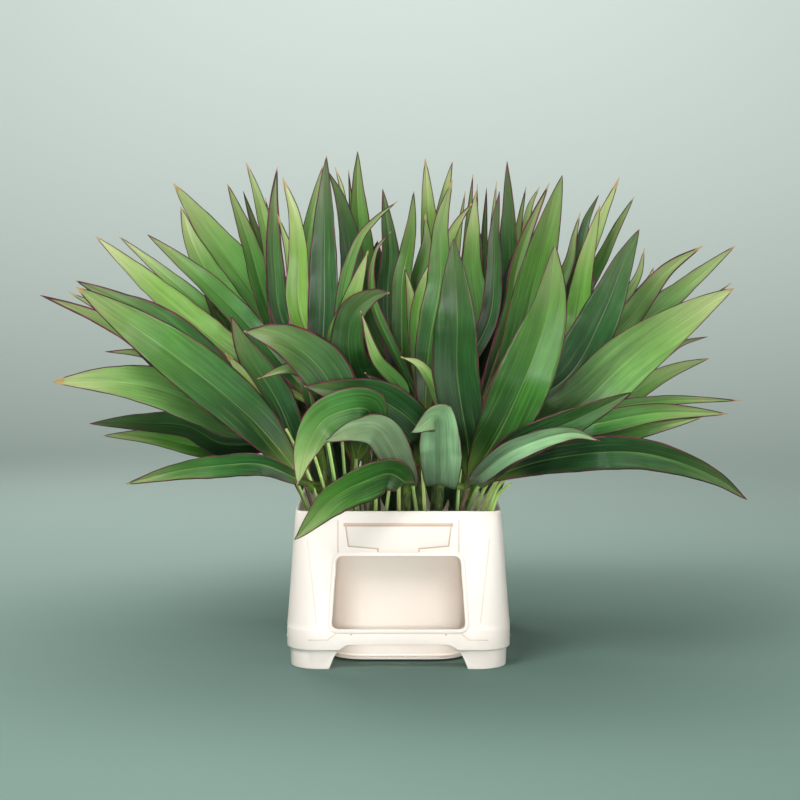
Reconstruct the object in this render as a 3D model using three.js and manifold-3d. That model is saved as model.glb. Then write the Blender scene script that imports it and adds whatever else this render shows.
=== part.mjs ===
// A flower container of white moulded plastic, filled with water and cut leafy cordyline stems.
// Millimetres, +Z up, the container's short side faces -Y, the origin is under the middle of the whole.
import * as THREE from "three";
import { mergeVertices } from "three/addons/utils/BufferGeometryUtils.js";
import Module from "manifold-3d";

// Container: each level is [height, half-width, corner radius]. Half-widths are across the short
// side, and the long side is LONGER more each way.
const LONGER = 50;
const SKIRT_TOP = [[213, 138.5, 15], [180, 140.8, 19], [62, 149.7, 38]];
const SKIRT_FOOT = [[53, 151, 41], [27, 151, 42], [25, 147, 41], [0, 146, 41]];
const SKIRT_INSIDE = [[0, 142, 37], [53, 146, 38], [180, 137, 15], [203, 136.3, 14.5]];
const BUCKET_OUTSIDE = [[199, 132, 21], [176, 112, 42], [148, 104, 50], [3, 94.4, 48]];
const BUCKET_INSIDE = [[7, 90.7, 44], [150, 100, 46], [178, 108, 38], [200, 126, 16], [213, 134.5, 12]];
const RELIEF_LEVELS = [[207, 139, 15], [180, 140.8, 19], [62, 149.7, 38], [53, 151, 41], [46, 151, 41]];
const RELIEF_PROUD = 1.2;
const RELIEF_DEEP = 2.4;
const CORNER_STEPS = 3;
const WINDOW = { bottom: 55, top: 153, halfBottom: 90, halfTop: 83, round: 9, bead: 5.5 };
const ARCH = { halfFoot: 93.5, halfKnee: 88, knee: 14, halfTop: 64, top: 33.6, shoulder: 14 };
const PLATE = {
  top: 193, shoulder: 167, under: 163.5, foot: 158,
  halfTop: 70, halfShoulder: 66.6, halfTab: 27,
};
// How far the cutters for a side start and end from its middle plane, and what they run past.
const CUT_FROM = 123;
const CUT_TO = 165;
const CUT_PAST = 10;

// Shorter edges than this, which joining and cutting leave, are closed up.
const SMALLEST = 0.05;

// Water stands low in the bucket, with a plain hole for each cane.
const WATER_TOP = 96;
const WATER_ROUND = 45;
const CLEAR = 0.35;

// Canes: round, leaning outwards from the bucket's floor.
const CANE_FOOT = 7.3;
const CANE_RADIUS = 6.5;
const CANE_TAPER = 1;
const CANE_TIP_RADIUS = 1.2;
const CANE_SIDES = 6;
const CANE_LEAN = 0.62;
const TIP_LENGTH = 26;
const ROOT_TOP = 3;
const ROOT_STEP = 3.4;

// Leaves: a stalk that widens into a keeled blade.
const STALK_WIDTH = 9;
const STALK_THICK = 4.2;
const BLADE_THICK = 1;
const STALK_TAPER = 3;
const TIP_WIDTH = 1.6;
const BLADE_START = 0.136;
const BLADE_PEAK = 0.88;
const BLADE_FULL = 0.8;
const THIN_FROM = 0.34;
const KEEL = 0.13;
const BROAD_ROWS = [0, 0.1, 0.22, 0.36, 0.51, 0.67, 0.84, 1];
const NARROW_ROWS = [0, 0.13, 0.32, 0.54, 0.78, 1];
const BROAD = 30;
const RISE_ALONG = 0.22;
const RISE_TOWARDS = 0.1;
// A blade turns about its midrib: by ROLL where it lies across, and by TWIST where it stands.
const ROLL = [0.3, 0.7];
const TWIST = [0.15, 0.6];
const TWIST_START = 0.4;
const TWIST_GROW = 0.8;
const ACROSS_GAIN = 2.2;

// Leaf ways are given as seen from EYE on the plane of the container's front face.
const EYE = new THREE.Vector3(0, -3200, 607);
const FRONT_PLANE = -200;
const DEPTH_START = 0.35;
const DEPTH_CURVE = 1.4;

// Each stem: where its cane ends.
const STEMS = {
  a1: [-98, -124, 238], a2: [-60, -132, 242], a3: [12, -134, 238], a4: [58, -130, 242], a5: [98, -122, 236],
  b1: [-104, -76, 262], b2: [-42, -80, 266], b3: [34, -78, 264], b4: [96, -76, 262],
  c1: [-100, -12, 290], c2: [-50, -10, 298], c3: [6, -14, 300], c4: [58, -10, 296], c5: [104, -12, 288],
  d1: [-100, 54, 276], d2: [-38, 58, 286], d3: [34, 56, 284], d4: [98, 54, 276],
  e1: [-96, 124, 244], e2: [-36, 128, 250], e3: [26, 128, 248], e4: [88, 124, 244],
};

// Each leaf: stem, width, y of its tip, and its way up to the tip. They are laid from the middle
// outwards, so a leaf lies in front of those above it in its list.
const FRONT_LEAVES = [
  ["c1", 22, 40, [-300, 410], [-340, 425], [-390, 428]],
  ["c1", 40, 70, [-220, 425], [-300, 490], [-350, 535], [-400, 580]],
  ["c1", 34, 30, [-170, 430], [-250, 515], [-285, 545], [-332, 583]],
  ["c2", 28, 40, [-155, 500], [-168, 560], [-188, 640], [-201, 678]],
  ["c2", 28, 20, [-150, 460], [-164, 540], [-165, 620], [-160, 672]],
  ["c2", 28, 30, [-125, 500], [-122, 560], [-112, 620], [-100, 673]],
  ["c3", 36, 40, [-48, 480], [-50, 560], [-55, 640], [-54, 692]],
  ["c3", 32, 30, [-15, 480], [-12, 560], [-16, 600], [-21, 643]],
  ["c3", 30, 40, [22, 480], [33, 540], [38, 575], [35, 610]],
  ["c4", 26, 50, [45, 500], [55, 545], [80, 600], [98, 625]],
  ["c4", 34, 20, [105, 460], [98, 540], [100, 600], [102, 640]],
  ["c4", 26, 10, [120, 470], [127, 540], [127, 580], [133, 640]],
  ["c5", 26, 30, [215, 500], [238, 560], [248, 600], [264, 635]],
  ["c5", 22, 10, [200, 490], [225, 545], [232, 580], [240, 612]],
  ["c5", 24, 40, [250, 440], [300, 500], [318, 530], [325, 565]],
  ["c5", 38, 30, [225, 395], [300, 465], [355, 535], [402, 568]],
  ["c5", 20, 10, [345, 420], [375, 438], [410, 448]],
  ["c1", 25, 0, [-290, 415], [-370, 470], [-437, 507]],
  ["c2", 36, -10, [-72, 440], [-62, 540], [-76, 625], [-92, 665]],
  ["c3", 28, 0, [5, 520], [12, 560], [18, 600], [20, 640]],
  ["b1", 28, -25, [-240, 298], [-330, 314], [-393, 316]],
  ["b1", 32, -35, [-235, 305], [-280, 328], [-340, 333], [-411, 332]],
  ["b1", 40, -45, [-210, 375], [-310, 465], [-370, 495], [-427, 522]],
  ["b1", 26, -75, [-250, 350], [-350, 445], [-400, 473], [-475, 503]],
  ["b1", 50, -95, [-230, 340], [-262, 356], [-320, 378], [-380, 388], [-460, 388]],
  ["b1", 24, -35, [-132, 440], [-137, 510], [-145, 560], [-160, 610]],
  ["b2", 34, -35, [-128, 470], [-132, 560], [-138, 610], [-153, 658]],
  ["b2", 42, -75, [-95, 390], [-98, 500], [-97, 610], [-95, 686]],
  ["b2", 18, -45, [-75, 480], [-52, 575], [-30, 603], [-1, 627]],
  ["b2", 34, -95, [-80, 430], [-66, 480], [-52, 525], [-40, 562]],
  ["b3", 14, -75, [-35, 500], [-30, 560], [-10, 587]],
  ["b3", 24, -65, [30, 400], [20, 465], [15, 505], [8, 540]],
  ["b3", 24, -65, [25, 480], [42, 538], [57, 563]],
  ["b3", 36, -75, [40, 430], [55, 520], [58, 600], [71, 655]],
  ["b4", 24, -45, [148, 480], [155, 530], [167, 575], [199, 651]],
  ["b4", 36, -55, [205, 370], [232, 450], [247, 540], [266, 622]],
  ["b4", 54, -85, [150, 400], [178, 510], [190, 560], [216, 661]],
  ["b4", 58, -65, [225, 395], [268, 470], [300, 550], [318, 590]],
  ["b4", 32, -65, [260, 340], [335, 388], [370, 405], [412, 419]],
  ["b4", 68, -105, [225, 345], [310, 420], [400, 485], [444, 512]],
  ["b3", 52, -145, [-60, 400], [-60, 475], [-35, 500], [-12, 506]],
  ["a5", 15, -105, [255, 345], [350, 362], [455, 363]],
  ["a5", 28, -135, [280, 335], [350, 347], [438, 345]],
  ["a5", 24, -165, [150, 275], [240, 303], [320, 322], [406, 341]],
  ["a1", 46, -165, [-112, 250], [-160, 360], [-205, 435], [-222, 476]],
  ["a1", 28, -195, [-118, 250], [-172, 325], [-210, 400], [-230, 426]],
  ["a1", 58, -185, [-112, 244], [-195, 338], [-300, 425], [-427, 514]],
  ["a1", 32, -205, [-126, 254], [-180, 277], [-240, 276], [-300, 268], [-364, 251]],
  ["a2", 20, -185, [-60, 290], [-85, 375], [-140, 405], [-187, 392]],
  ["a2", 56, -175, [-62, 300], [-100, 400], [-150, 442], [-205, 455]],
  ["a2", 20, -175, [5, 372], [-30, 420], [-50, 482]],
  ["a3", 24, -215, [30, 330], [-5, 368], [-45, 400]],
  ["a3", 46, -215, [35, 310], [-20, 362], [-80, 375], [-125, 382]],
  ["a4", 20, -205, [80, 300], [62, 350], [28, 410], [3, 421]],
  ["a4", 62, -185, [92, 250], [78, 400], [78, 480], [73, 578]],
  ["a5", 70, -215, [92, 250], [140, 330], [195, 470], [207, 570]],
  ["a5", 40, -225, [108, 252], [150, 297], [230, 335], [310, 374]],
  ["a5", 40, -235, [126, 260], [200, 284], [320, 293], [420, 262], [465, 230]],
  ["a5", 28, -275, [104, 258], [150, 295], [230, 320], [268, 309]],
  ["a2", 48, -255, [-40, 350], [-95, 340], [-122, 300], [-135, 250]],
  ["a3", 44, -275, [12, 255], [-25, 322], [-60, 325], [-98, 308]],
  ["a4", 56, -285, [57, 252], [58, 296], [52, 342], [17, 320]],
  ["a3", 50, -275, [8, 254], [-12, 265], [-42, 256], [-88, 232], [-139, 176]],
];
const BACK_LEAVES = [
  ["d2", 60, 70, [-80, 430], [-104, 520], [-112, 590]],
  ["d3", 60, 70, [70, 430], [95, 520], [108, 585]],
  ["d1", 58, 70, [-130, 420], [-156, 500], [-170, 560]],
  ["d4", 58, 75, [125, 420], [150, 500], [160, 570]],
  ["d2", 54, 75, [-40, 430], [-30, 510], [-28, 575]],
  ["d3", 54, 75, [30, 430], [34, 510], [40, 560]],
  ["d1", 34, 90, [-170, 480], [-198, 570], [-226, 650]],
  ["d1", 22, 110, [-165, 500], [-180, 555], [-205, 640]],
  ["d1", 48, 120, [-215, 470], [-270, 565], [-288, 620]],
  ["d1", 30, 140, [-240, 470], [-310, 530], [-369, 580]],
  ["d2", 60, 110, [-150, 450], [-225, 550], [-262, 600], [-297, 650]],
  ["d2", 20, 110, [-70, 560], [-75, 640], [-84, 672]],
  ["d3", 34, 100, [42, 540], [37, 640], [35, 683]],
  ["d3", 28, 130, [50, 560], [63, 640], [71, 679]],
  ["d3", 32, 110, [140, 500], [146, 590], [143, 679]],
  ["d4", 24, 100, [160, 520], [172, 615], [186, 646]],
  ["d4", 28, 120, [230, 520], [275, 620], [291, 658]],
  ["d4", 24, 150, [240, 500], [293, 600], [311, 633]],
  ["d4", 42, 110, [300, 450], [365, 500], [400, 530], [445, 568]],
  ["d4", 26, 160, [260, 440], [330, 520], [337, 540]],
];

// The far side fills out by a rule: so many leaves on each rear stem, fanned and arched away.
const FAR_COUNT = { d1: 2, d2: 2, d3: 2, d4: 2, e1: 5, e2: 5, e3: 5, e4: 5 };
const FAR = {
  reach: [500, 590], lean: [0.02, 0.08], width: [36, 60], shares: [0.4, 0.7, 1],
  golden: 0.618, stemShift: 120, stemSpan: 170,
  spread: 85, spreadOut: 60, spreadStem: 2.5, spreadCurve: 1.15,
  lower: 0.25, lowerOut: 110, leanOut: 0.42,
};

// Bending clear: how steeply a leaf may leave its way, and come back to it.
const BEND = 0.55;
const UNBEND = 0.35;
const SETTLE_ROUNDS = 12;
const SETTLED = 0.05;
const CELL = 4;
const CELLS_LEFT = 2000;
const CELLS_KEY = 4096;
const GAP = 2;
const LEAST_FACING = 0.5;

const wasm = await Module();
wasm.setup();

// A seeded draw from 0 to 1.
let drawState = 214;
function draw() {
  drawState = (drawState * 48271) % 2147483647;
  return drawState / 2147483647;
}
const between = ([low, high]) => low + (high - low) * draw();

function toSolid(geometry) {
  const plain = geometry.clone();
  plain.deleteAttribute("normal");
  plain.deleteAttribute("uv");
  const merged = mergeVertices(plain, 1e-4);
  const mesh = new wasm.Mesh({
    numProp: 3,
    vertProperties: merged.attributes.position.array,
    triVerts: new Uint32Array(merged.index.array),
  });
  return new wasm.Manifold(mesh);
}

function toGeometry(solid) {
  const mesh = solid.asOriginal().simplify(SMALLEST).getMesh();
  const geometry = new THREE.BufferGeometry();
  geometry.setAttribute("position", new THREE.BufferAttribute(new Float32Array(mesh.vertProperties), 3));
  geometry.setIndex(new THREE.BufferAttribute(new Uint32Array(mesh.triVerts), 1));
  geometry.computeVertexNormals();
  return geometry;
}

// Joins rings of equally many points into a closed skin, with a flat fan over each end. From column
// mirrored on the quads are split the other way, so that both faces of a thin blade are split alike.
function loft(rings, mirrored = Infinity) {
  const count = rings[0].length;
  const points = rings.flat();
  const index = [];
  for (let i = 0; i < rings.length - 1; i++) {
    for (let j = 0; j < count; j++) {
      const a = i * count + j;
      const b = i * count + ((j + 1) % count);
      if (j < mirrored) index.push(a, b, b + count, a, b + count, a + count);
      else index.push(a, b, a + count, b, b + count, a + count);
    }
  }
  const last = (rings.length - 1) * count;
  for (let j = 1; j < count - 1; j++) {
    index.push(0, j + 1, j);
    index.push(last, last + j, last + j + 1);
  }
  const geometry = new THREE.BufferGeometry().setFromPoints(points);
  geometry.setIndex(index);
  return geometry;
}

// A rounded rectangle in plan, anticlockwise.
function planRing(half, round, z) {
  const ring = [];
  const quarters = [[1, 1], [-1, 1], [-1, -1], [1, -1]];
  quarters.forEach(([sx, sy], quarter) => {
    for (let i = 0; i <= CORNER_STEPS; i++) {
      const turn = ((quarter + i / CORNER_STEPS) * Math.PI) / 2;
      const x = sx * (half - round) + round * Math.cos(turn);
      const y = sy * (half + LONGER - round) + round * Math.sin(turn);
      ring.push(new THREE.Vector3(x, y, z));
    }
  });
  return ring;
}

function levelRings(levels, grow = 0) {
  return levels.map(([z, half, round]) => planRing(half + grow, round + grow, z));
}

// A flat outline pushed through one side of the skirt. Sides 0 and 2 are the short ones.
function onSide(shape, side, slack = 0) {
  const from = CUT_FROM + (side % 2 ? 0 : LONGER) - slack;
  const depth = CUT_TO - CUT_FROM + 2 * slack;
  const solid = new THREE.ExtrudeGeometry(shape, { depth, bevelEnabled: false, curveSegments: 3 });
  solid.translate(0, 0, from);
  solid.rotateX(Math.PI / 2);
  solid.rotateZ((side * Math.PI) / 2);
  return toSolid(solid);
}

function roundedQuad(halfBottom, bottom, halfTop, top, round) {
  const corners = [[-halfBottom, bottom], [halfBottom, bottom], [halfTop, top], [-halfTop, top]];
  const shape = new THREE.Shape();
  corners.forEach((corner, i) => {
    const here = new THREE.Vector2(...corner);
    const before = new THREE.Vector2(...corners[(i + 3) % 4]).sub(here).setLength(round).add(here);
    const after = new THREE.Vector2(...corners[(i + 1) % 4]).sub(here).setLength(round).add(here);
    if (i === 0) shape.moveTo(before.x, before.y);
    else shape.lineTo(before.x, before.y);
    shape.quadraticCurveTo(here.x, here.y, after.x, after.y);
  });
  shape.closePath();
  return shape;
}

function windowShape(wider, grow) {
  const w = WINDOW;
  const sides = wider + grow;
  const low = w.bottom - grow;
  return roundedQuad(w.halfBottom + sides, low, w.halfTop + sides, w.top + grow, w.round + grow);
}

function archShape(wider) {
  const a = ARCH;
  const shape = new THREE.Shape();
  shape.moveTo(-a.halfFoot - wider, -CUT_PAST);
  shape.lineTo(a.halfFoot + wider, -CUT_PAST);
  shape.lineTo(a.halfKnee + wider, a.knee);
  shape.quadraticCurveTo(a.halfTop + a.shoulder + wider, a.top, a.halfTop + wider, a.top);
  shape.lineTo(-a.halfTop - wider, a.top);
  shape.quadraticCurveTo(-a.halfTop - a.shoulder - wider, a.top, -a.halfKnee - wider, a.knee);
  shape.closePath();
  return shape;
}

function plateShape() {
  const p = PLATE;
  const shape = new THREE.Shape();
  shape.moveTo(-p.halfTop, p.top);
  shape.lineTo(-p.halfShoulder, p.shoulder);
  shape.lineTo(-p.halfTab, p.under);
  shape.lineTo(-p.halfTab, p.foot);
  shape.lineTo(p.halfTab, p.foot);
  shape.lineTo(p.halfTab, p.under);
  shape.lineTo(p.halfShoulder, p.shoulder);
  shape.lineTo(p.halfTop, p.top);
  shape.closePath();
  return shape;
}

function makeContainer() {
  const skirt = [...SKIRT_TOP, ...SKIRT_FOOT, ...SKIRT_INSIDE];
  const profile = [...BUCKET_INSIDE, ...skirt, ...BUCKET_OUTSIDE].reverse();
  const relief = skirtRelief();
  let solid = toSolid(loft(levelRings(profile)));
  for (let side = 0; side < 4; side++) {
    const wider = side % 2 ? LONGER : 0;
    solid = solid.subtract(onSide(windowShape(wider, 0), side)).subtract(onSide(archShape(wider), side));
    const hole = onSide(windowShape(wider, 0), side, CUT_PAST);
    const bead = onSide(windowShape(wider, WINDOW.bead), side).subtract(hole);
    solid = solid.add(bead.intersect(relief)).add(onSide(plateShape(), side).intersect(relief));
  }
  return toGeometry(solid);
}

// A thin skin that stands proud of the skirt, from which beads and plates are cut.
function skirtRelief() {
  const outside = levelRings(RELIEF_LEVELS, RELIEF_PROUD).reverse();
  const inside = levelRings(RELIEF_LEVELS, -RELIEF_DEEP);
  return toSolid(loftRing([...outside, ...inside]));
}

// Joins rings into a closed tube that runs back into itself.
function loftRing(rings) {
  const count = rings[0].length;
  const index = [];
  for (let i = 0; i < rings.length; i++) {
    for (let j = 0; j < count; j++) {
      const a = i * count + j;
      const b = i * count + ((j + 1) % count);
      const c = ((i + 1) % rings.length) * count + j;
      const d = ((i + 1) % rings.length) * count + ((j + 1) % count);
      index.push(a, b, d, a, d, c);
    }
  }
  const geometry = new THREE.BufferGeometry().setFromPoints(rings.flat());
  geometry.setIndex(index);
  return geometry;
}

// A cane from the bucket's floor to its tip, grown by extra for the hole that it stands in.
function cane([x, y, z], extra) {
  const foot = new THREE.Vector3(x * CANE_LEAN, y * CANE_LEAN, CANE_FOOT - extra);
  const head = new THREE.Vector3(x, y, z);
  const along = head.clone().sub(foot).normalize();
  const tip = head.clone().addScaledVector(along, TIP_LENGTH);
  const across = new THREE.Vector3(1, 0, 0).addScaledVector(along, -along.x).normalize();
  const other = along.clone().cross(across);
  const stations = [[foot, CANE_RADIUS], [head, CANE_RADIUS - CANE_TAPER], [tip, CANE_TIP_RADIUS]];
  const rings = stations.map(([centre, radius], i) => {
    const ring = [];
    for (let j = 0; j < CANE_SIDES; j++) {
      const turn = (j / CANE_SIDES) * 2 * Math.PI;
      const point = centre.clone();
      point.addScaledVector(across, (radius + extra) * Math.cos(turn));
      point.addScaledVector(other, (radius + extra) * Math.sin(turn));
      if (i === 0) point.z = foot.z;
      ring.push(point);
    }
    return ring;
  });
  return loft(rings);
}

// Where a point seen on the front plane lies at a depth y.
function atDepth([u, v], y) {
  const share = (y - EYE.y) / (FRONT_PLANE - EYE.y);
  return new THREE.Vector3(EYE.x + (u - EYE.x) * share, y, EYE.z + (v - EYE.z) * share);
}

// Pages: every point has a place (x, r) on its page and a turn about the X axis.
const turnOf = (p) => Math.atan2(p.y, p.z);
const reachOf = (p) => Math.hypot(p.y, p.z);

function widthAt(share, width) {
  if (share === 1) return TIP_WIDTH;
  const t = Math.max(0, (share - BLADE_START) / (1 - BLADE_START));
  const blade = width * Math.pow(Math.sin(Math.PI * Math.pow(t, BLADE_PEAK)), BLADE_FULL);
  const stalk = STALK_WIDTH * Math.min(1, (1 - share) * STALK_TAPER);
  return Math.max(stalk, blade);
}

function thickAt(share) {
  const t = Math.min(1, share / THIN_FROM);
  return STALK_THICK + (BLADE_THICK - STALK_THICK) * t * t * (3 - 2 * t);
}

// The middle line of a leaf: out of the cane, up beside it, then along its way.
function leafLine(stem, points, rank) {
  const foot = new THREE.Vector3(stem[0] * CANE_LEAN, stem[1] * CANE_LEAN, CANE_FOOT);
  const head = new THREE.Vector3(...stem);
  const along = head.clone().sub(foot).normalize();
  const root = head.clone().addScaledVector(along, -ROOT_TOP - ROOT_STEP * rank);
  const first = points[0].clone().sub(root);
  const rise = root.clone().addScaledVector(along, first.length() * RISE_ALONG);
  rise.addScaledVector(first, RISE_TOWARDS);
  return new THREE.CatmullRomCurve3([root, rise, ...points], false, "centripetal");
}

// Sections of a leaf: left edge, midrib and right edge, with their normals.
function leafSections(line, shown, roll, twist) {
  const rows = shown < BROAD ? NARROW_ROWS : BROAD_ROWS;
  return rows.map((share) => {
    const middle = line.getPointAt(share);
    const tangent = line.getTangentAt(share);
    const pageTurn = turnOf(middle);
    const page = new THREE.Vector3(0, -Math.cos(pageTurn), Math.sin(pageTurn));
    const normal = page.addScaledVector(tangent, -page.dot(tangent)).normalize();
    const across = tangent.clone().cross(normal);
    const lean = THREE.MathUtils.clamp(across.z * ACROSS_GAIN, -1, 1);
    const turn = lean * roll + (1 - Math.abs(lean)) * twist * (TWIST_START + TWIST_GROW * share);
    normal.applyAxisAngle(tangent, turn);
    across.applyAxisAngle(tangent, turn);
    const half = widthAt(share, shown / Math.cos(turn)) / 2;
    const lift = 2 * half * KEEL;
    const left = middle.clone().addScaledVector(across, -half).addScaledVector(normal, lift);
    const right = middle.clone().addScaledVector(across, half).addScaledVector(normal, lift);
    return { share, points: [left, middle, right], normal, thick: thickAt(share) };
  });
}

// Pages that are taken: for each cell the foremost and the hindmost turn so far.
const cells = new Map();
const cellOf = ({ point, reach }) => [Math.round((point.x + CELLS_LEFT) / CELL), Math.round(reach / CELL)];
const cellKey = (i, j) => i * CELLS_KEY + j;

function samples(sections) {
  const found = [];
  for (let row = 0; row < sections.length - 1; row++) {
    const a = sections[row];
    const b = sections[row + 1];
    const steps = Math.max(2, Math.ceil(a.points[1].distanceTo(b.points[1]) / CELL));
    for (let s = 0; s <= steps; s++) {
      const t = s / steps;
      const thick = a.thick + (b.thick - a.thick) * t;
      for (const side of [0, 1]) {
        const p = a.points[side].clone().lerp(b.points[side], t);
        const q = a.points[side + 1].clone().lerp(b.points[side + 1], t);
        const across = Math.max(1, Math.ceil(p.distanceTo(q) / CELL));
        for (let k = 0; k <= across; k++) {
          const point = p.clone().lerp(q, k / across);
          found.push({ point, row: row + t, thick, turn: turnOf(point), reach: reachOf(point) });
        }
      }
    }
  }
  return found;
}

function around(sample, visit) {
  const [i, j] = cellOf(sample);
  for (let di = -1; di <= 1; di++) {
    for (let dj = -1; dj <= 1; dj++) visit(cellKey(i + di, j + dj));
  }
}

function take(sections) {
  for (const sample of samples(sections)) {
    const key = cellKey(...cellOf(sample));
    const half = sample.thick / 2 / sample.reach;
    const cell = cells.get(key) || { front: Infinity, back: -Infinity };
    cell.front = Math.min(cell.front, sample.turn - half);
    cell.back = Math.max(cell.back, sample.turn + half);
    cells.set(key, cell);
  }
}

// How far each row has to move, to the front (-1) or to the back (1), to lie clear of what is laid.
function needs(sections, way) {
  const need = sections.map(() => 0);
  for (const sample of samples(sections)) {
    const room = (GAP + sample.thick / 2) / sample.reach;
    let worst = 0;
    around(sample, (key) => {
      const cell = cells.get(key);
      if (!cell) return;
      const over = way < 0 ? sample.turn + room - cell.front : cell.back + room - sample.turn;
      worst = Math.max(worst, over);
    });
    worst *= sample.reach / Math.max(LEAST_FACING, Math.cos(sample.turn));
    const row = Math.floor(sample.row);
    need[row] = Math.max(need[row], worst);
    const next = Math.min(row + 1, need.length - 1);
    if (sample.row > row) need[next] = Math.max(need[next], worst);
  }
  return need;
}

// Bends a leaf clear of those laid before it, along the line of sight, without moving its root.
function settle(sections, way) {
  const moves = sections.map(() => 0);
  const spans = sections.map((s, i) => (i ? s.points[1].distanceTo(sections[i - 1].points[1]) : 0));
  const sights = sections.map((s) => EYE.clone().sub(s.points[1]).normalize());
  let laid = sections;
  for (let round = 0; round < SETTLE_ROUNDS; round++) {
    const need = needs(laid, way);
    if (Math.max(...need.slice(2)) < SETTLED) break;
    need.forEach((n, i) => (moves[i] += n));
    for (let i = moves.length - 2; i >= 0; i--) {
      moves[i] = Math.max(moves[i], moves[i + 1] - BEND * spans[i + 1]);
    }
    moves[0] = 0;
    for (let i = 1; i < moves.length; i++) {
      moves[i] = Math.min(moves[i], moves[i - 1] + BEND * spans[i]);
      moves[i] = Math.max(moves[i], moves[i - 1] - UNBEND * spans[i]);
    }
    laid = sections.map((s, i) => ({
      ...s,
      points: s.points.map((p) => p.clone().addScaledVector(sights[i], -way * moves[i])),
    }));
  }
  take(laid);
  return laid;
}

// A closed blade over its sections, split alike on both faces.
function leafGeometry(sections) {
  const rings = sections.map(({ points, normal, thick }) => {
    const up = points.map((p) => p.clone().addScaledVector(normal, thick / 2));
    const down = points.map((p) => p.clone().addScaledVector(normal, -thick / 2));
    return [up[0], up[1], up[2], down[2], down[1], down[0]];
  });
  return loft(rings, 3);
}

// The y along a leaf goes slowly at first from its stem to its tip.
function shownWay(stem, tipDepth, way) {
  return way.map((point, i) => {
    const share = DEPTH_START + ((1 - DEPTH_START) * (i + 1)) / way.length;
    return atDepth(point, stem[1] + (tipDepth - stem[1]) * Math.pow(share, DEPTH_CURVE));
  });
}

// Leaves by stem, in the order in which they are laid.
const leavesOf = {};
for (const name of Object.keys(STEMS)) leavesOf[name] = [];

function layLeaf(name, width, points, way) {
  const roll = between(ROLL);
  const twist = between(TWIST) * (draw() < 0.5 ? -1 : 1);
  const line = leafLine(STEMS[name], points, leavesOf[name].length);
  leavesOf[name].push(settle(leafSections(line, width, roll, twist), way));
}

function layFoliage() {
  for (const [name, width, tipDepth, ...seen] of FRONT_LEAVES) {
    layLeaf(name, width, shownWay(STEMS[name], tipDepth, seen), -1);
  }
  for (const [name, width, tipDepth, ...seen] of BACK_LEAVES) {
    layLeaf(name, width, shownWay(STEMS[name], tipDepth, seen), 1);
  }
  for (const row of ["d", "e"]) {
    for (let i = 0; i < Math.max(...Object.values(FAR_COUNT)); i++) {
      for (const name of Object.keys(FAR_COUNT)) {
        if (name[0] === row && i < FAR_COUNT[name]) layLeaf(name, ...farLeaf(name, i), 1);
      }
    }
  }
}

// A leaf on the far side: fanned in x, arched away from the middle, the first ones most upright.
function farLeaf(name, i) {
  const stem = STEMS[name];
  const start = turnOf({ y: stem[1], z: stem[2] });
  const outward = name[0] === "e" ? i / (FAR_COUNT[name] - 1) : 0;
  const side = ((i * FAR.golden + (stem[0] + FAR.stemShift) / FAR.stemSpan) % 1) * 2 - 1;
  const spread = side * (FAR.spread + FAR.spreadOut * outward) + stem[0] * FAR.spreadStem;
  const reach = between(FAR.reach) - Math.abs(spread) * FAR.lower - FAR.lowerOut * outward;
  const lean = start + between(FAR.lean) + FAR.leanOut * outward;
  const points = FAR.shares.map((share) => {
    const r = stem[2] + (reach - stem[2]) * Math.sin((share * Math.PI) / 2);
    const turn = start + (lean - start) * share * share;
    const x = stem[0] + (spread - stem[0]) * Math.pow(share, FAR.spreadCurve);
    return new THREE.Vector3(x, r * Math.sin(turn), r * Math.cos(turn));
  });
  return [between(FAR.width), points];
}

function makeStem(name) {
  const leaves = leavesOf[name].map((sections) => toSolid(leafGeometry(sections)));
  const joined = wasm.Manifold.union([...leaves, toSolid(cane(STEMS[name], 0))]);
  const whole = joined.decompose().reduce((a, b) => (a.volume() > b.volume() ? a : b));
  return toGeometry(whole);
}

function makeWater() {
  const [[floor, low], [above, high]] = BUCKET_INSIDE;
  const halfAt = (z) => low + ((z - floor) * (high - low)) / (above - floor) - CLEAR;
  const rings = [floor + CLEAR, WATER_TOP].map((z) => planRing(halfAt(z), WATER_ROUND, z));
  let solid = toSolid(loft(rings));
  for (const stem of Object.values(STEMS)) solid = solid.subtract(toSolid(cane(stem, CLEAR)));
  return toGeometry(solid);
}

const root = new THREE.Group();

function place(name, geometry, material) {
  const mesh = new THREE.Mesh(geometry, material);
  mesh.name = name;
  root.add(mesh);
}

const plastic = new THREE.MeshStandardMaterial({ color: 0xf6f2e8, roughness: 0.42, metalness: 0 });
const water = new THREE.MeshStandardMaterial({ color: 0xcfdcd6, roughness: 0.05, metalness: 0 });
const GREENS = [0x3f7a3d, 0x6f9a4e, 0x2f5a3c, 0x8fae62];

place("container", makeContainer(), plastic);
place("water", makeWater(), water);
layFoliage();
Object.keys(STEMS).forEach((name, i) => {
  const color = GREENS[i % GREENS.length];
  const leaf = new THREE.MeshStandardMaterial({ color, roughness: 0.45, metalness: 0 });
  place("stem_" + name, makeStem(name), leaf);
});

const extent = new THREE.Box3().setFromObject(root);
const middle = extent.getCenter(new THREE.Vector3());
root.position.set(-middle.x, -middle.y, 0);

export default root;
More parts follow.
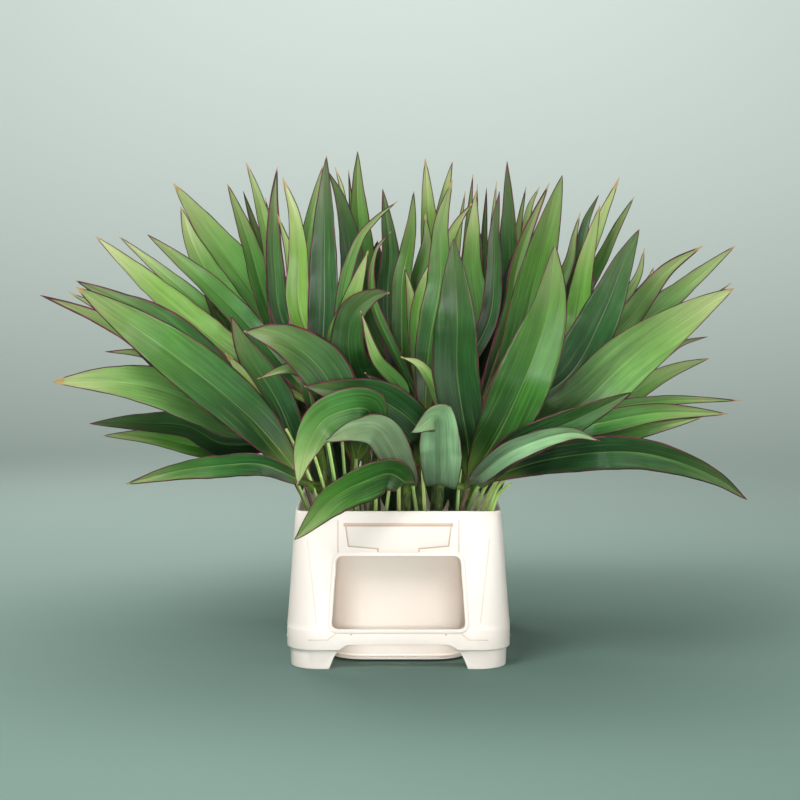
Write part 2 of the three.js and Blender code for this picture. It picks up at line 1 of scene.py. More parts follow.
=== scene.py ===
# A white flower container filled with cut, red-edged cordyline foliage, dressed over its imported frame.
import math
import bpy
import numpy as np
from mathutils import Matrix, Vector


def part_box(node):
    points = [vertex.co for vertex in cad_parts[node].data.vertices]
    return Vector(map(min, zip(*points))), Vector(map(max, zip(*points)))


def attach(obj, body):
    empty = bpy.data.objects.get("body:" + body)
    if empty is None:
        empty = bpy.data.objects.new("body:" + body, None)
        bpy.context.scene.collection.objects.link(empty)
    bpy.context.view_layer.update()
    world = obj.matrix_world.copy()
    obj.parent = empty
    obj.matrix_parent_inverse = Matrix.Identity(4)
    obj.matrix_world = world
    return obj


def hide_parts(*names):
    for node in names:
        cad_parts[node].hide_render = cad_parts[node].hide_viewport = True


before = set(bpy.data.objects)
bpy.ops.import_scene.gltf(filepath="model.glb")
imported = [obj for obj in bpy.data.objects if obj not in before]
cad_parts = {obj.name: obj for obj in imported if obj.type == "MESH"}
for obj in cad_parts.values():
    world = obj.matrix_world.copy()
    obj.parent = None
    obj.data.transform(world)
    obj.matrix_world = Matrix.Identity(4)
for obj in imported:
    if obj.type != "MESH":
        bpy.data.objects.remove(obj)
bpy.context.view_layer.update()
bpy.ops.object.select_all(action="DESELECT")

# The frame's origin is under the middle of the whole, and the container stands a little off it.
low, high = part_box("container")
containerX = (low[0] + high[0]) / 2
containerY = (low[1] + high[1]) / 2


def placed(points):    # container millimetres to frame metres
    return np.asarray(points, dtype=float) / 1000 + np.array([containerX, containerY, 0])


class Wire:
    def __init__(self, tree, socket=None):
        self.tree = tree
        self.socket = socket

    def node(self, kind, settings=None, inputs=None, out=0):
        made = self.tree.nodes.new(kind)
        for key, value in (settings or {}).items():
            setattr(made, key, value)
        for key, value in (inputs or {}).items():
            if isinstance(value, Wire):
                self.tree.links.new(value.socket, made.inputs[key])
            else:
                made.inputs[key].default_value = value
        return Wire(self.tree, made.outputs[out])

    def math(self, operation, *values):
        return self.node("ShaderNodeMath", {"operation": operation}, dict(enumerate(values)))

    def __add__(self, other):
        return self.math("ADD", self, other)

    def __sub__(self, other):
        return self.math("SUBTRACT", self, other)

    def __rsub__(self, other):
        return self.math("SUBTRACT", other, self)

    def __mul__(self, other):
        return self.math("MULTIPLY", self, other)

    def __truediv__(self, other):
        return self.math("DIVIDE", self, other)

    def __pow__(self, other):
        return self.math("POWER", self, other)

    __radd__ = __add__
    __rmul__ = __mul__

    def sine(self):
        return self.math("SINE", self)

    def size(self):
        return self.math("ABSOLUTE", self)

    def least(self, other):
        return self.math("MINIMUM", self, other)

    def step(self, start, end):    # 0 before start, 1 after end
        sockets = {"Value": self, "From Min": start, "From Max": end}
        return self.node("ShaderNodeMapRange", {"interpolation_type": "SMOOTHSTEP"}, sockets)

    def mixed(self, first, second):    # this wire is the mask
        return self.node("ShaderNodeMix", {"data_type": "RGBA"}, {0: self, 6: first, 7: second}, out=2)

    def noise(self, scale, detail):    # this wire is the place
        return self.node("ShaderNodeTexNoise", None, {"Vector": self, "Scale": scale, "Detail": detail})

    def bump(self, strength, distance):    # this wire is the height
        return self.node("ShaderNodeBump", None, {"Height": self, "Strength": strength, "Distance": distance})

    def parts(self):
        split = self.tree.nodes.new("ShaderNodeSeparateXYZ")
        self.tree.links.new(self.socket, split.inputs[0])
        return [Wire(self.tree, output) for output in split.outputs]


def srgb(red, green, blue):    # 0 to 255 as seen, to the linear colour that a socket takes
    seen = [value / 255 for value in (red, green, blue)]
    return (*[v / 12.92 if v <= 0.04045 else ((v + 0.055) / 1.055) ** 2.4 for v in seen], 1)


def newMaterial(name, settings):
    material = bpy.data.materials.new(name)
    material.use_nodes = True
    shader = material.node_tree.nodes["Principled BSDF"]
    for key, value in settings.items():
        shader.inputs[key].default_value = value
    return material, Wire(material.node_tree), shader


def feed(shader, wires):
    for key, wire in wires.items():
        wire.tree.links.new(wire.socket, shader.inputs[key])


def attribute(wire, name, out=1):
    return wire.node("ShaderNodeAttribute", {"attribute_name": name}, out=out)


def objectSpot(wire):
    return wire.node("ShaderNodeTexCoord", out=3)


# Pairs are where a change starts and ends. A share runs from 0 at a leaf's root to 1 at its tip.
leafLook = {
    "purple": srgb(112, 42, 62), "purpleDark": srgb(54, 24, 32), "stalk": srgb(112, 142, 62),
    "midrib": srgb(172, 200, 108), "dry": srgb(188, 160, 108), "lightTip": srgb(148, 184, 84),
    "creamTip": srgb(214, 218, 160), "streak": srgb(140, 176, 92), "under": srgb(150, 178, 128),
    "gloss": 0.32, "roughness": 0.4, "roughGrain": 0.16, "roughUnder": 0.14,
    # How close a noise lies across and along, how far each leaf's own shifts, and its detail.
    "fine": (0.5, 0.012, 37, 3.0), "broad": (0.16, 0.011, 53, 2.0), "cloud": (0.05, 0.03, 71, 4.0),
    "veinSlant": 0.35, "veinsClose": 4.2,
    # The green's brightness: its start, then what the three noises and the veins add.
    "shade": (0.24, 0.58, 0.5, 0.38, 0.03), "contrast": 1.6, "saturation": 1.02,
    # Painted shade: each blade darkens towards its root, deep in the clump.
    "paintedRootShade": 0.34, "paintedRootRise": 0.8, "rootShare": (0.1, 0.68),
    # Painted shade: one half of each blade is darker than the other, as light falls across its fold.
    "paintedHalfShade": 0.88, "paintedHalfRise": 0.22, "fold": (-0.12, 0.12),
    "streaks": (0.52, 0.78), "streakPlain": 0.1, "streakBright": 0.3,
    "stalkShare": (0.12, 0.3), "stalkRed": (0.0, 0.3), "lightShare": (0.45, 0.95), "lightBy": (0.35, 0.7),
    "creamShare": (0.72, 1.0), "creamBy": 0.3,
    "midribMm": (0.2, 1.1), "midribShare": (0.6, 0.9), "midribPlain": 0.16, "midribBright": 0.24,
    "underCover": 0.55, "underMidrib": 0.6,
    "marginMm": 1.35, "marginRed": 0.35, "marginBy": (0.6, 0.9), "marginSoft": (0.55, 1.15),
    "marginShare": (0.06, 0.2), "redFrom": (0.0, 0.35), "darkRed": (0.35, 0.65),
    "flushWide": 4, "flush": 0.2, "dryBy": 0.5, "drySharp": 60,
    "fineHigh": 0.22, "veinHigh": 0.05, "broadHigh": 0.4, "bump": (0.5, 0.001),
}


def makeLeafMaterial():
    look = leafLook
    material, wire, shader = newMaterial("leafBlade", {"Specular IOR Level": look["gloss"]})
    green = attribute(wire, "green", 0)
    across, halfMm, upper = attribute(wire, "across").parts()
    share, alongMm, seed = attribute(wire, "along").parts()
    purple, dry, bright = attribute(wire, "marks").parts()
    offMm = across.size() * halfMm
    sideMm = across * halfMm
    noises = []
    for closeAcross, closeAlong, shift, detail in (look["fine"], look["broad"], look["cloud"]):
        spot = {0: sideMm * closeAcross, 1: alongMm * closeAlong, 2: seed * shift}
        noises.append(wire.node("ShaderNodeCombineXYZ", None, spot).noise(1.0, detail))
    fine, broad, cloud = noises
    # Fine veins leave the midrib at a narrow angle, and broad streaks run along the blade.
    veins = ((alongMm * look["veinSlant"] - offMm) * look["veinsClose"]).sine()
    start, fineShade, broadShade, cloudShade, veinShade = look["shade"]
    shade = start + fine * fineShade + broad * broadShade + cloud * cloudShade + veins * veinShade
    # Painted shade: darker towards the root, where the clump shades the blade.
    shade = shade * (look["paintedRootShade"] + look["paintedRootRise"] * share.step(*look["rootShare"]))
    # Painted shade: one half darker across the fold.
    shade = shade * (look["paintedHalfShade"] + look["paintedHalfRise"] * across.step(*look["fold"]))
    shade = shade ** look["contrast"]
    sockets = {"Color": green, "Value": shade, "Saturation": look["saturation"]}
    color = wire.node("ShaderNodeHueSaturation", None, sockets)
    streaks = fine.step(*look["streaks"]) * (look["streakPlain"] + look["streakBright"] * bright)
    color = streaks.mixed(color, look["streak"])
    # Paler towards the stalk and, on many, towards the tip.
    stalk = (1 - share.step(*look["stalkShare"])) * purple.step(*look["stalkRed"])
    color = stalk.mixed(color, look["stalk"])
    least, more = look["lightBy"]
    lightTip = share.step(*look["lightShare"]) * bright * (least + broad * more)
    color = lightTip.mixed(color, look["lightTip"])
    creamTip = share.step(*look["creamShare"]) * bright * (look["creamBy"] + fine)
    color = creamTip.mixed(color, look["creamTip"])
    midrib = (1 - offMm.step(*look["midribMm"])) * (1 - share.step(*look["midribShare"]))
    shown = midrib * (look["midribPlain"] + look["midribBright"] * bright)
    color = shown.mixed(color, look["midrib"])
    # The underside is paler and greyer, with a raised pale midrib.
    beneath = 1 - upper
    color = (beneath * look["underCover"]).mixed(color, look["under"])
    color = (beneath * midrib * look["underMidrib"]).mixed(color, look["midrib"])
    # The red edge: a narrow line, here and there flushed inwards.
    inMm = halfMm - offMm
    least, more = look["marginBy"]
    wide = look["marginMm"] * (look["marginRed"] + purple) * (least + broad * more)
    line = 1 - (inMm / wide).step(*look["marginSoft"])
    flush = (1 - (inMm / (wide * look["flushWide"])).step(0.0, 1.0)) * look["flush"]
    reddened = purple.step(*look["redFrom"]) * share.step(*look["marginShare"])
    red = cloud.step(*look["darkRed"]).mixed(look["purple"], look["purpleDark"])
    color = ((line + flush) * reddened).least(1.0).mixed(color, red)
    # Dry tips, sharply set off.
    dryFrom = 1 - dry * (look["dryBy"] + cloud)
    color = ((share - dryFrom) * look["drySharp"]).step(0.0, 1.0).mixed(color, look["dry"])
    rough = look["roughness"] + (fine - 0.5) * look["roughGrain"] + beneath * look["roughUnder"]
    height = fine * look["fineHigh"] + veins * look["veinHigh"] + broad * look["broadHigh"]
    feed(shader, {"Base Color": color, "Roughness": rough, "Normal": height.bump(*look["bump"])})
    return material


# A noise is its scale and its detail.
caneLook = {
    "gloss": 0.4, "green": srgb(58, 78, 38), "pale": srgb(98, 116, 60), "brown": srgb(104, 88, 60),
    "stretch": (1, 1, 0.25), "grain": (260.0, 4.0), "rings": (60.0, 2.0),
    "paleFrom": (0.35, 0.7), "brownFrom": (0.55, 0.8), "brownCover": 0.35,
    "roughness": 0.5, "roughGrain": 0.2, "bump": (0.4, 0.001),
}


def makeCaneMaterial():
    look = caneLook
    material, wire, shader = newMaterial("cane", {"Specular IOR Level": look["gloss"]})
    spot = objectSpot(wire)
    stretched = wire.node("ShaderNodeMapping", None, {"Vector": spot, "Scale": look["stretch"]})
    grain = stretched.noise(*look["grain"])
    rings = spot.noise(*look["rings"])
    color = grain.step(*look["paleFrom"]).mixed(look["green"], look["pale"])
    color = (rings.step(*look["brownFrom"]) * look["brownCover"]).mixed(color, look["brown"])
    rough = look["roughness"] + grain * look["roughGrain"]
    feed(shader, {"Base Color": color, "Roughness": rough, "Normal": (grain + rings).bump(*look["bump"])})
    return material


# The warm tint for faces behind the wall is painted shade.
plasticLook = {
    "gloss": 0.45, "pale": srgb(244, 234, 226), "shaded": srgb(239, 227, 218),
    # The line colour is painted shade along the edges of reliefs.
    "warmShade": srgb(243, 222, 200), "warmShadeCover": 0.95, "line": srgb(206, 170, 138),
    # The glow colour below is painted light.
    "dirt": srgb(196, 178, 156), "paintedGlow": srgb(255, 238, 220), "dark": (0, 0, 0, 1),
    "flow": (9.0, 3.0), "grain": (900.0, 2.0), "scuff": (70.0, 6.0),
    "shadedFrom": (0.3, 0.7), "dirtFrom": (0.35, 0.75),
    "roughness": 0.4, "roughFlow": 0.12, "roughGrain": 0.08, "roughDirt": 0.15,
    "paintedGlowFrom": (0.0, 0.14), "paintedGlowPlain": 0.03, "paintedGlowMore": 0.08,
    "flowHigh": 0.5, "grainHigh": 0.1, "bump": (0.12, 0.0012),
}


def makePlasticMaterial():
    look = plasticLook
    settings = {"Specular IOR Level": look["gloss"], "Emission Strength": 1.0}
    material, wire, shader = newMaterial("whitePlastic", settings)
    spot = objectSpot(wire)
    flow, grain, scuff = (spot.noise(*look[key]) for key in ("flow", "grain", "scuff"))
    warmShade, line, dirt = attribute(wire, "plastic").parts()
    color = flow.step(*look["shadedFrom"]).mixed(look["pale"], look["shaded"])
    # Painted shade: faces behind the wall take a warm tint.
    color = (warmShade * look["warmShadeCover"]).mixed(color, look["warmShade"])
    # Painted shade: the line colour along the edges of reliefs and raised lines.
    color = line.mixed(color, look["line"])
    color = (dirt * scuff.step(*look["dirtFrom"])).mixed(color, look["dirt"])
    rough = look["roughness"] + (flow - 0.5) * look["roughFlow"] + (grain - 0.5) * look["roughGrain"]
    rough = rough + dirt * look["roughDirt"]
    # Painted light: faces behind the thin skirt glow faintly, standing in for light that comes through it, so
    # they stay bright.
    paintedGlow = warmShade.step(*look["paintedGlowFrom"]) * (look["paintedGlowPlain"] + look["paintedGlowMore"] * warmShade)
    glow = paintedGlow.mixed(look["dark"], look["paintedGlow"])
    height = flow * look["flowHigh"] + grain * look["grainHigh"]
    bump = height.bump(*look["bump"])
    feed(shader, {"Base Color": color, "Roughness": rough, "Normal": bump, "Emission Color": glow})
    return material


waterLook = {
    "settings": {"IOR": 1.333, "Transmission Weight": 1.0, "Roughness": 0.02},
    "ripple": (30.0, 2.0), "clear": srgb(226, 236, 224), "deep": srgb(212, 226, 212),
    "deepFrom": (0.3, 0.7), "bump": (0.08, 0.002),
}


def makeWaterMaterial():
    look = waterLook
    material, wire, shader = newMaterial("stillWater", look["settings"])
    ripple = objectSpot(wire).noise(*look["ripple"])
    color = ripple.step(*look["deepFrom"]).mixed(look["clear"], look["deep"])
    feed(shader, {"Base Color": color, "Normal": ripple.bump(*look["bump"])})
    return material


print("materials")

# Canes lean outwards from the bucket's floor, and leaves root near their tops, each below the last.
cane = {
    "footZ": 7.3, "radius": 6.5, "taper": 1, "tipRadius": 1.2, "lean": 0.62, "tip": 26, "tipRings": (0.5, 1),
    "rootTop": 3, "rootStep": 3.4, "sides": 20, "rings": 40,
    "ringEvery": 9, "ringDeep": 0.35, "ringShare": 0.3,
}
# Each stem: where its cane ends.
stems = {
    "a1": (-98, -124, 238), "a2": (-60, -132, 242), "a3": (12, -134, 238), "a4": (58, -130, 242),
    "a5": (98, -122, 236), "b1": (-104, -76, 262), "b2": (-42, -80, 266), "b3": (34, -78, 264),
    "b4": (96, -76, 262), "c1": (-100, -12, 290), "c2": (-50, -10, 298), "c3": (6, -14, 300),
    "c4": (58, -10, 296), "c5": (104, -12, 288), "d1": (-100, 54, 276), "d2": (-38, 58, 286),
    "d3": (34, 56, 284), "d4": (98, 54, 276), "e1": (-96, 124, 244), "e2": (-36, 128, 250),
    "e3": (26, 128, 248), "e4": (88, 124, 244),
}

# A shown leaf: its stem, its width, how deep its tip lies, its finish, and the places (u, v) that its
# midrib passes as seen from the front. The middle is laid first, then what lies before and behind it.
middleLeaves = [
    ("c1", 22, 40, "mid", (-300, 410), (-340, 425), (-390, 428)),
    ("c1", 40, 70, "yellow", (-220, 425), (-300, 490), (-350, 535), (-400, 580)),
    ("c1", 34, 30, "mid", (-170, 430), (-250, 515), (-285, 545), (-332, 583)),
    ("c2", 28, 40, "light", (-155, 500), (-168, 560), (-188, 640), (-201, 678)),
    ("c2", 28, 20, "purple", (-150, 460), (-164, 540), (-165, 620), (-160, 672)),
    ("c2", 28, 30, "mid", (-125, 500), (-122, 560), (-112, 620), (-100, 673)),
    ("c3", 36, 40, "rich", (-48, 480), (-50, 560), (-55, 640), (-54, 692)),
    ("c3", 32, 30, "dark", (-15, 480), (-12, 560), (-16, 600), (-21, 643)),
    ("c3", 30, 40, "mid", (22, 480), (33, 540), (38, 575), (35, 610)),
    ("c4", 26, 50, "mid", (45, 500), (55, 545), (80, 600), (98, 625)),
    ("c4", 34, 20, "light", (105, 460), (98, 540), (100, 600), (102, 640)),
    ("c4", 26, 10, "dark", (120, 470), (127, 540), (127, 580), (133, 640)),
    ("c5", 26, 30, "blue", (215, 500), (238, 560), (248, 600), (264, 635)),
    ("c5", 22, 10, "mid", (200, 490), (225, 545), (232, 580), (240, 612)),
    ("c5", 24, 40, "mid", (250, 440), (300, 500), (318, 530), (325, 565)),
    ("c5", 38, 30, "brown", (225, 395), (300, 465), (355, 535), (402, 568)),
    ("c5", 20, 10, "dark", (345, 420), (375, 438), (410, 448)),
    ("c1", 25, 0, "mid", (-290, 415), (-370, 470), (-437, 507)),
    ("c2", 36, -10, "dark", (-72, 440), (-62, 540), (-76, 625), (-92, 665)),
    ("c3", 28, 0, "rich", (5, 520), (12, 560), (18, 600), (20, 640)),
    ("b1", 28, -25, "bright", (-240, 298), (-330, 314), (-393, 316)),
    ("b1", 32, -35, "dark", (-235, 305), (-280, 328), (-340, 333), (-411, 332)),
    ("b1", 40, -45, "purple", (-210, 375), (-310, 465), (-370, 495), (-427, 522)),
    ("b1", 26, -75, "brown", (-250, 350), (-350, 445), (-400, 473), (-475, 503)),
    ("b1", 50, -95, "light", (-230, 340), (-262, 356), (-320, 378), (-380, 388), (-460, 388)),
    ("b1", 24, -35, "light", (-132, 440), (-137, 510), (-145, 560), (-160, 610)),
    ("b2", 34, -35, "yellow", (-128, 470), (-132, 560), (-138, 610), (-153, 658)),
    ("b2", 42, -75, "dark", (-95, 390), (-98, 500), (-97, 610), (-95, 686)),
    ("b2", 18, -45, "mid", (-75, 480), (-52, 575), (-30, 603), (-1, 627)),
    ("b2", 34, -95, "bright", (-80, 430), (-66, 480), (-52, 525), (-40, 562)),
    ("b3", 14, -75, "mid", (-35, 500), (-30, 560), (-10, 587)),
    ("b3", 24, -65, "light", (30, 400), (20, 465), (15, 505), (8, 540)),
    ("b3", 24, -65, "bright", (25, 480), (42, 538), (57, 563)),
    ("b3", 36, -75, "mid", (40, 430), (55, 520), (58, 600), (71, 655)),
    ("b4", 24, -45, "brown", (148, 480), (155, 530), (167, 575), (199, 651)),
    ("b4", 36, -55, "bright", (205, 370), (232, 450), (247, 540), (266, 622)),
    ("b4", 54, -85, "rich", (150, 400), (178, 510), (190, 560), (216, 661)),
    ("b4", 58, -65, "blue", (225, 395), (268, 470), (300, 550), (318, 590)),
    ("b4", 32, -65, "light", (260, 340), (335, 388), (370, 405), (412, 419)),
    ("b4", 68, -105, "light", (225, 345), (310, 420), (400, 485), (444, 512)),
    ("b3", 52, -145, "dark", (-60, 400), (-60, 475), (-35, 500), (-12, 506)),
]
nearLeaves = [
    ("a5", 15, -105, "mid", (255, 345), (350, 362), (455, 363)),
    ("a5", 28, -135, "mid", (280, 335), (350, 347), (438, 345)),
    ("a5", 24, -165, "mid", (150, 275), (240, 303), (320, 322), (406, 341)),
    ("a1", 46, -165, "purple", (-112, 250), (-160, 360), (-205, 435), (-222, 476)),
    ("a1", 28, -195, "yellow", (-118, 250), (-172, 325), (-210, 400), (-230, 426)),
    ("a1", 58, -185, "mid", (-112, 244), (-195, 338), (-300, 425), (-427, 514)),
    ("a1", 32, -205, "mid", (-126, 254), (-180, 277), (-240, 276), (-300, 268), (-364, 251)),
    ("a2", 20, -185, "mid", (-60, 290), (-85, 375), (-140, 405), (-187, 392)),
    ("a2", 56, -175, "purple", (-62, 300), (-100, 400), (-150, 442), (-205, 455)),
    ("a2", 20, -175, "light", (5, 372), (-30, 420), (-50, 482)),
    ("a3", 24, -215, "blue", (30, 330), (-5, 368), (-45, 400)),
    ("a3", 46, -215, "dark", (35, 310), (-20, 362), (-80, 375), (-125, 382)),
    ("a4", 20, -205, "light", (80, 300), (62, 350), (28, 410), (3, 421)),
    ("a4", 62, -185, "blue", (92, 250), (78, 400), (78, 480), (73, 578)),
    ("a5", 70, -215, "rich", (92, 250), (140, 330), (195, 470), (207, 570)),
    ("a5", 40, -225, "blue", (108, 252), (150, 297), (230, 335), (310, 374)),
    ("a5", 40, -235, "dark", (126, 260), (200, 284), (320, 293), (420, 262), (465, 230)),
    ("a5", 28, -275, "pale", (104, 258), (150, 295), (230, 320), (268, 309)),
    ("a2", 48, -255, "mid", (-40, 350), (-95, 340), (-122, 300), (-135, 250)),
    ("a3", 44, -275, "pale", (12, 255), (-25, 322), (-60, 325), (-98, 308)),
    ("a4", 56, -285, "pale", (57, 252), (58, 296), (52, 342), (17, 320)),
    ("a3", 50, -275, "rich", (8, 254), (-12, 265), (-42, 256), (-88, 232), (-139, 176)),
]
backLeaves = [
    ("d2", 60, 70, "deep", (-80, 430), (-104, 520), (-112, 590)),
    ("d3", 60, 70, "dark", (70, 430), (95, 520), (108, 585)),
    ("d1", 58, 70, "dark", (-130, 420), (-156, 500), (-170, 560)),
    ("d4", 58, 75, "deep", (125, 420), (150, 500), (160, 570)),
    ("d2", 54, 75, "deep", (-40, 430), (-30, 510), (-28, 575)),
    ("d3", 54, 75, "deep", (30, 430), (34, 510), (40, 560)),
    ("d1", 34, 90, "mid", (-170, 480), (-198, 570), (-226, 650)),
    ("d1", 22, 110, "dark", (-165, 500), (-180, 555), (-205, 640)),
    ("d1", 48, 120, "light", (-215, 470), (-270, 565), (-288, 620)),
    ("d1", 30, 140, "light", (-240, 470), (-310, 530), (-369, 580)),
    ("d2", 60, 110, "light", (-150, 450), (-225, 550), (-262, 600), (-297, 650)),
    ("d2", 20, 110, "light", (-70, 560), (-75, 640), (-84, 672)),
    ("d3", 34, 100, "dry", (42, 540), (37, 640), (35, 683)),
    ("d3", 28, 130, "bright", (50, 560), (63, 640), (71, 679)),
    ("d3", 32, 110, "dark", (140, 500), (146, 590), (143, 679)),
    ("d4", 24, 100, "mid", (160, 520), (172, 615), (186, 646)),
    ("d4", 28, 120, "yellow", (230, 520), (275, 620), (291, 658)),
    ("d4", 24, 150, "mid", (240, 500), (293, 600), (311, 633)),
    ("d4", 42, 110, "mid", (300, 450), (365, 500), (400, 530), (445, 568)),
    ("d4", 26, 160, "mid", (260, 440), (330, 520), (337, 540)),
]
# Deep in the clump smaller leaves close the gaps, and some of them droop inside the rim.
innerLeaves = [
    ("d1", 50, 75, "dark", (-180, 400), (-230, 470), (-262, 525)),
    ("d4", 54, 80, "dark", (180, 400), (225, 470), (262, 525)),
    ("d1", 44, 75, "dark", (-180, 345), (-260, 385), (-330, 405)),
    ("d4", 44, 80, "dark", (200, 345), (280, 395), (345, 415)),
    ("d1", 50, 85, "deep", (-100, 320), (-84, 280), (-78, 205)),
    ("d2", 50, 85, "deep", (-30, 330), (-14, 285), (-8, 205)),
    ("d3", 50, 85, "deep", (40, 330), (50, 280), (52, 205)),
    ("d4", 50, 85, "deep", (96, 320), (84, 280), (80, 205)),
    ("d1", 50, 100, "deep", (-100, 320), (-120, 280), (-118, 215)),
    ("d4", 50, 100, "deep", (100, 320), (122, 280), (118, 215)),
]
# Narrow young leaves of which little more than the tip shows.
tipLeaves = [
    ("d3", 15, 90, "light", (70, 520), (80, 590), (88, 640)),
    ("d3", 16, 92, "mid", (84, 520), (92, 600), (98, 662)),
    ("d3", 14, 94, "yellow", (98, 520), (101, 590), (104, 650)),
    ("d4", 16, 96, "dark", (110, 520), (113, 590), (116, 645)),
    ("d4", 14, 98, "light", (122, 520), (125, 600), (129, 653)),
    ("d4", 18, 98, "mid", (150, 520), (158, 590), (168, 646)),
    ("d4", 16, 96, "bright", (190, 500), (206, 570), (214, 640)),
    ("d1", 14, 94, "light", (-150, 500), (-166, 580), (-176, 632)),
    ("d2", 14, 94, "mid", (-60, 520), (-62, 600), (-66, 668)),
    ("d4", 18, 92, "yellow", (330, 440), (390, 480), (440, 519)),
    ("d4", 16, 90, "light", (310, 420), (365, 450), (412, 475)),
]
# Bare leaf stalks fan out of the rim, each from a cane and through two places.
rimStalks = [
    ("a1", 6.5, "stalk", (-112, 203), (-140, 262), (-166, 298)),
    ("a1", 5.5, "woody", (-106, 203), (-130, 262), (-156, 306)),
    ("a1", 6, "stalk", (-98, 203), (-122, 268), (-150, 325)),
    ("a1", 5, "stalk", (-88, 203), (-104, 262), (-122, 320)),
    ("a2", 6, "stalk", (-76, 203), (-86, 262), (-96, 322)),
    ("a2", 5, "stalk", (-68, 203), (-72, 262), (-76, 318)),
    ("a2", 6.5, "stalk", (-54, 203), (-56, 262), (-55, 312)),
    ("a2", 5, "woody", (-44, 203), (-40, 258), (-36, 300)),
    ("a2", 5.5, "stalk", (-34, 203), (-30, 256), (-24, 300)),
    ("a3", 5, "stalk", (-14, 203), (-12, 250), (-8, 300)),
    ("a3", 6, "stalk", (2, 203), (0, 250), (-2, 300)),
    ("a3", 5, "stalk", (24, 203), (20, 245), (18, 290)),
    ("a4", 5.5, "stalk", (38, 203), (34, 240), (32, 285)),
    ("a4", 5, "stalk", (74, 203), (80, 250), (86, 300)),
    ("a5", 6, "woody", (82, 203), (100, 265), (126, 325)),
    ("a5", 6.5, "stalk", (88, 203), (112, 258), (146, 300)),
    ("a5", 6, "stalk", (96, 203), (120, 255), (150, 292)),
    ("a5", 7, "stalk", (104, 203), (128, 250), (152, 282)),
    ("a5", 6, "stalk", (112, 203), (132, 246), (152, 268)),
    ("a5", 5.5, "stalk", (118, 203), (134, 238), (150, 252)),
]

# A far leaf's way comes from a rule, and its finish from this list in turn.
farCount = {"d1": 2, "d2": 2, "d3": 2, "d4": 2, "e1": 5, "e2": 5, "e3": 5, "e4": 5}
farFinishes = ("mid", "light", "dark", "rich", "yellow", "blue", "bright")
far = {
    "reach": (500, 590), "lean": (0.02, 0.08), "width": (36, 60), "shares": (0.4, 0.7, 1),
    "golden": 0.618, "stemShift": 120, "stemSpan": 170,
    "spread": 85, "spreadOut": 60, "spreadStem": 2.5, "spreadCurve": 1.15,
    "lower": 0.25, "lowerOut": 110, "leanOut": 0.42,
}
# Leaves that only the scene has: how far down their cane they root, and how far forward stalks end.
extra = {"innerRank": 3, "tipRank": 4, "stalkRank": 14, "stalkRanks": 4, "stalkForward": 30, "draw": 41}

# Each finish: the blade's green, its red edge, its dry tip and how bright it goes to its tip.
finishes = {
    "dark": ((33, 76, 36), 0.85, 0.01, 0.15),
    "blue": ((38, 82, 38), 0.65, 0.01, 0.1),
    "mid": ((60, 116, 52), 0.7, 0.022, 0.5),
    "rich": ((58, 108, 38), 0.7, 0.01, 0.35),
    "bright": ((74, 138, 52), 0.6, 0.025, 0.75),
    "light": ((94, 148, 78), 0.6, 0.03, 0.75),
    "yellow": ((106, 156, 68), 0.55, 0.036, 1.0),
    "pale": ((138, 168, 128), 0.6, 0.01, 0.2),
    "purple": ((46, 90, 44), 1.7, 0.02, 0.3),
    "brown": ((66, 106, 52), 1.4, 0.025, 0.5),
    "dry": ((96, 140, 64), 0.5, 0.05, 0.8),
    # The deep finish is painted shade: its near-black green darkens the leaves deep in the clump.
    "deep": ((24, 56, 26), 0.6, 0.01, 0.0),
    "stalk": ((184, 206, 128), 0.0, 0.0, 0.3),
    "woody": ((150, 128, 104), 0.0, 0.0, 0.0),
}
# Millimetres, and shares of a leaf's length. What stands before "grid" lays a leaf as its solid is laid.
blade = {
    "stalkWidth": 9, "stalkThick": 4.2, "thick": 1, "stalkTaper": 3, "tipWidth": 0.8, "solidTip": 1.6,
    "start": 0.136, "peak": 0.88, "full": 0.8, "thinFrom": 0.34, "keel": 0.13, "keelCurve": 1.25,
    "broadRows": (0, 0.1, 0.22, 0.36, 0.51, 0.67, 0.84, 1), "narrowRows": (0, 0.13, 0.32, 0.54, 0.78, 1),
    "broad": 30, "riseAlong": 0.22, "riseTowards": 0.1,
    "roll": (0.3, 0.7), "twist": (0.15, 0.6), "twistStart": 0.4, "twistGrow": 0.8, "acrossGain": 2.2,
    "grid": (64, 18), "crowd": 1.35, "edgeThick": 0.35, "fromStalk": (0.1, 0.24),
    "groove": 0.5, "grooveWide": 1.2, "ridge": 0.9, "ridgeWide": 1.3, "ridgeFade": 0.7,
    "wave": 1.1, "waveLong": 62, "waveTurn": 6.283, "waveQuick": 14.1, "waveApart": 2.2,
    "waveSecond": 0.5, "waveOut": 2.2, "waveFull": 18,
    # A stalk is a gutter: how deep and how curved it is above, and how round and how high below.
    "gutter": (0.05, 0.28, 1.6), "belly": (0.62, 0.985, 0.05),
    # How much a leaf's tone, green, red edge and dry tip differ from its neighbour's.
    "seedStem": 17, "seedLeaf": 0.381966, "yellower": 0.3, "greener": 0.08, "greenSeed": 7,
    "redLeast": 0.75, "redMore": 0.5, "redSeed": 13, "dryLeast": 0.4, "dryMore": 1.2, "drySeed": 5,
}
bareStalk = {"finishes": ("stalk", "woody"), "grid": (22, 8), "taper": 0.3, "thick": 1.7}
# Places (u, v) are seen from this eye on this plane, and a way's depth runs from its cane's to its tip's.
seen = {"eye": (0, -3200, 607), "plane": -200, "depthStart": 0.35, "depthCurve": 1.4}
# How steeply a leaf bends clear and back, how often that is tried, and the cells that note what lies there.
laying = {
    "bend": 0.55, "unbend": 0.35, "rounds": 12, "settled": 0.05, "rootRows": 2,
    "steps": 201, "nudge": 0.0001, "leastSteps": 2,
    "cell": 4, "cells": (1100, 400), "left": 2000, "gap": 2, "leastFacing": 0.5,
}

# A seeded draw from 0 to 1, the same as in the part's source.
drawState = 214
drawFactor = 48271
drawRange = 2147483647


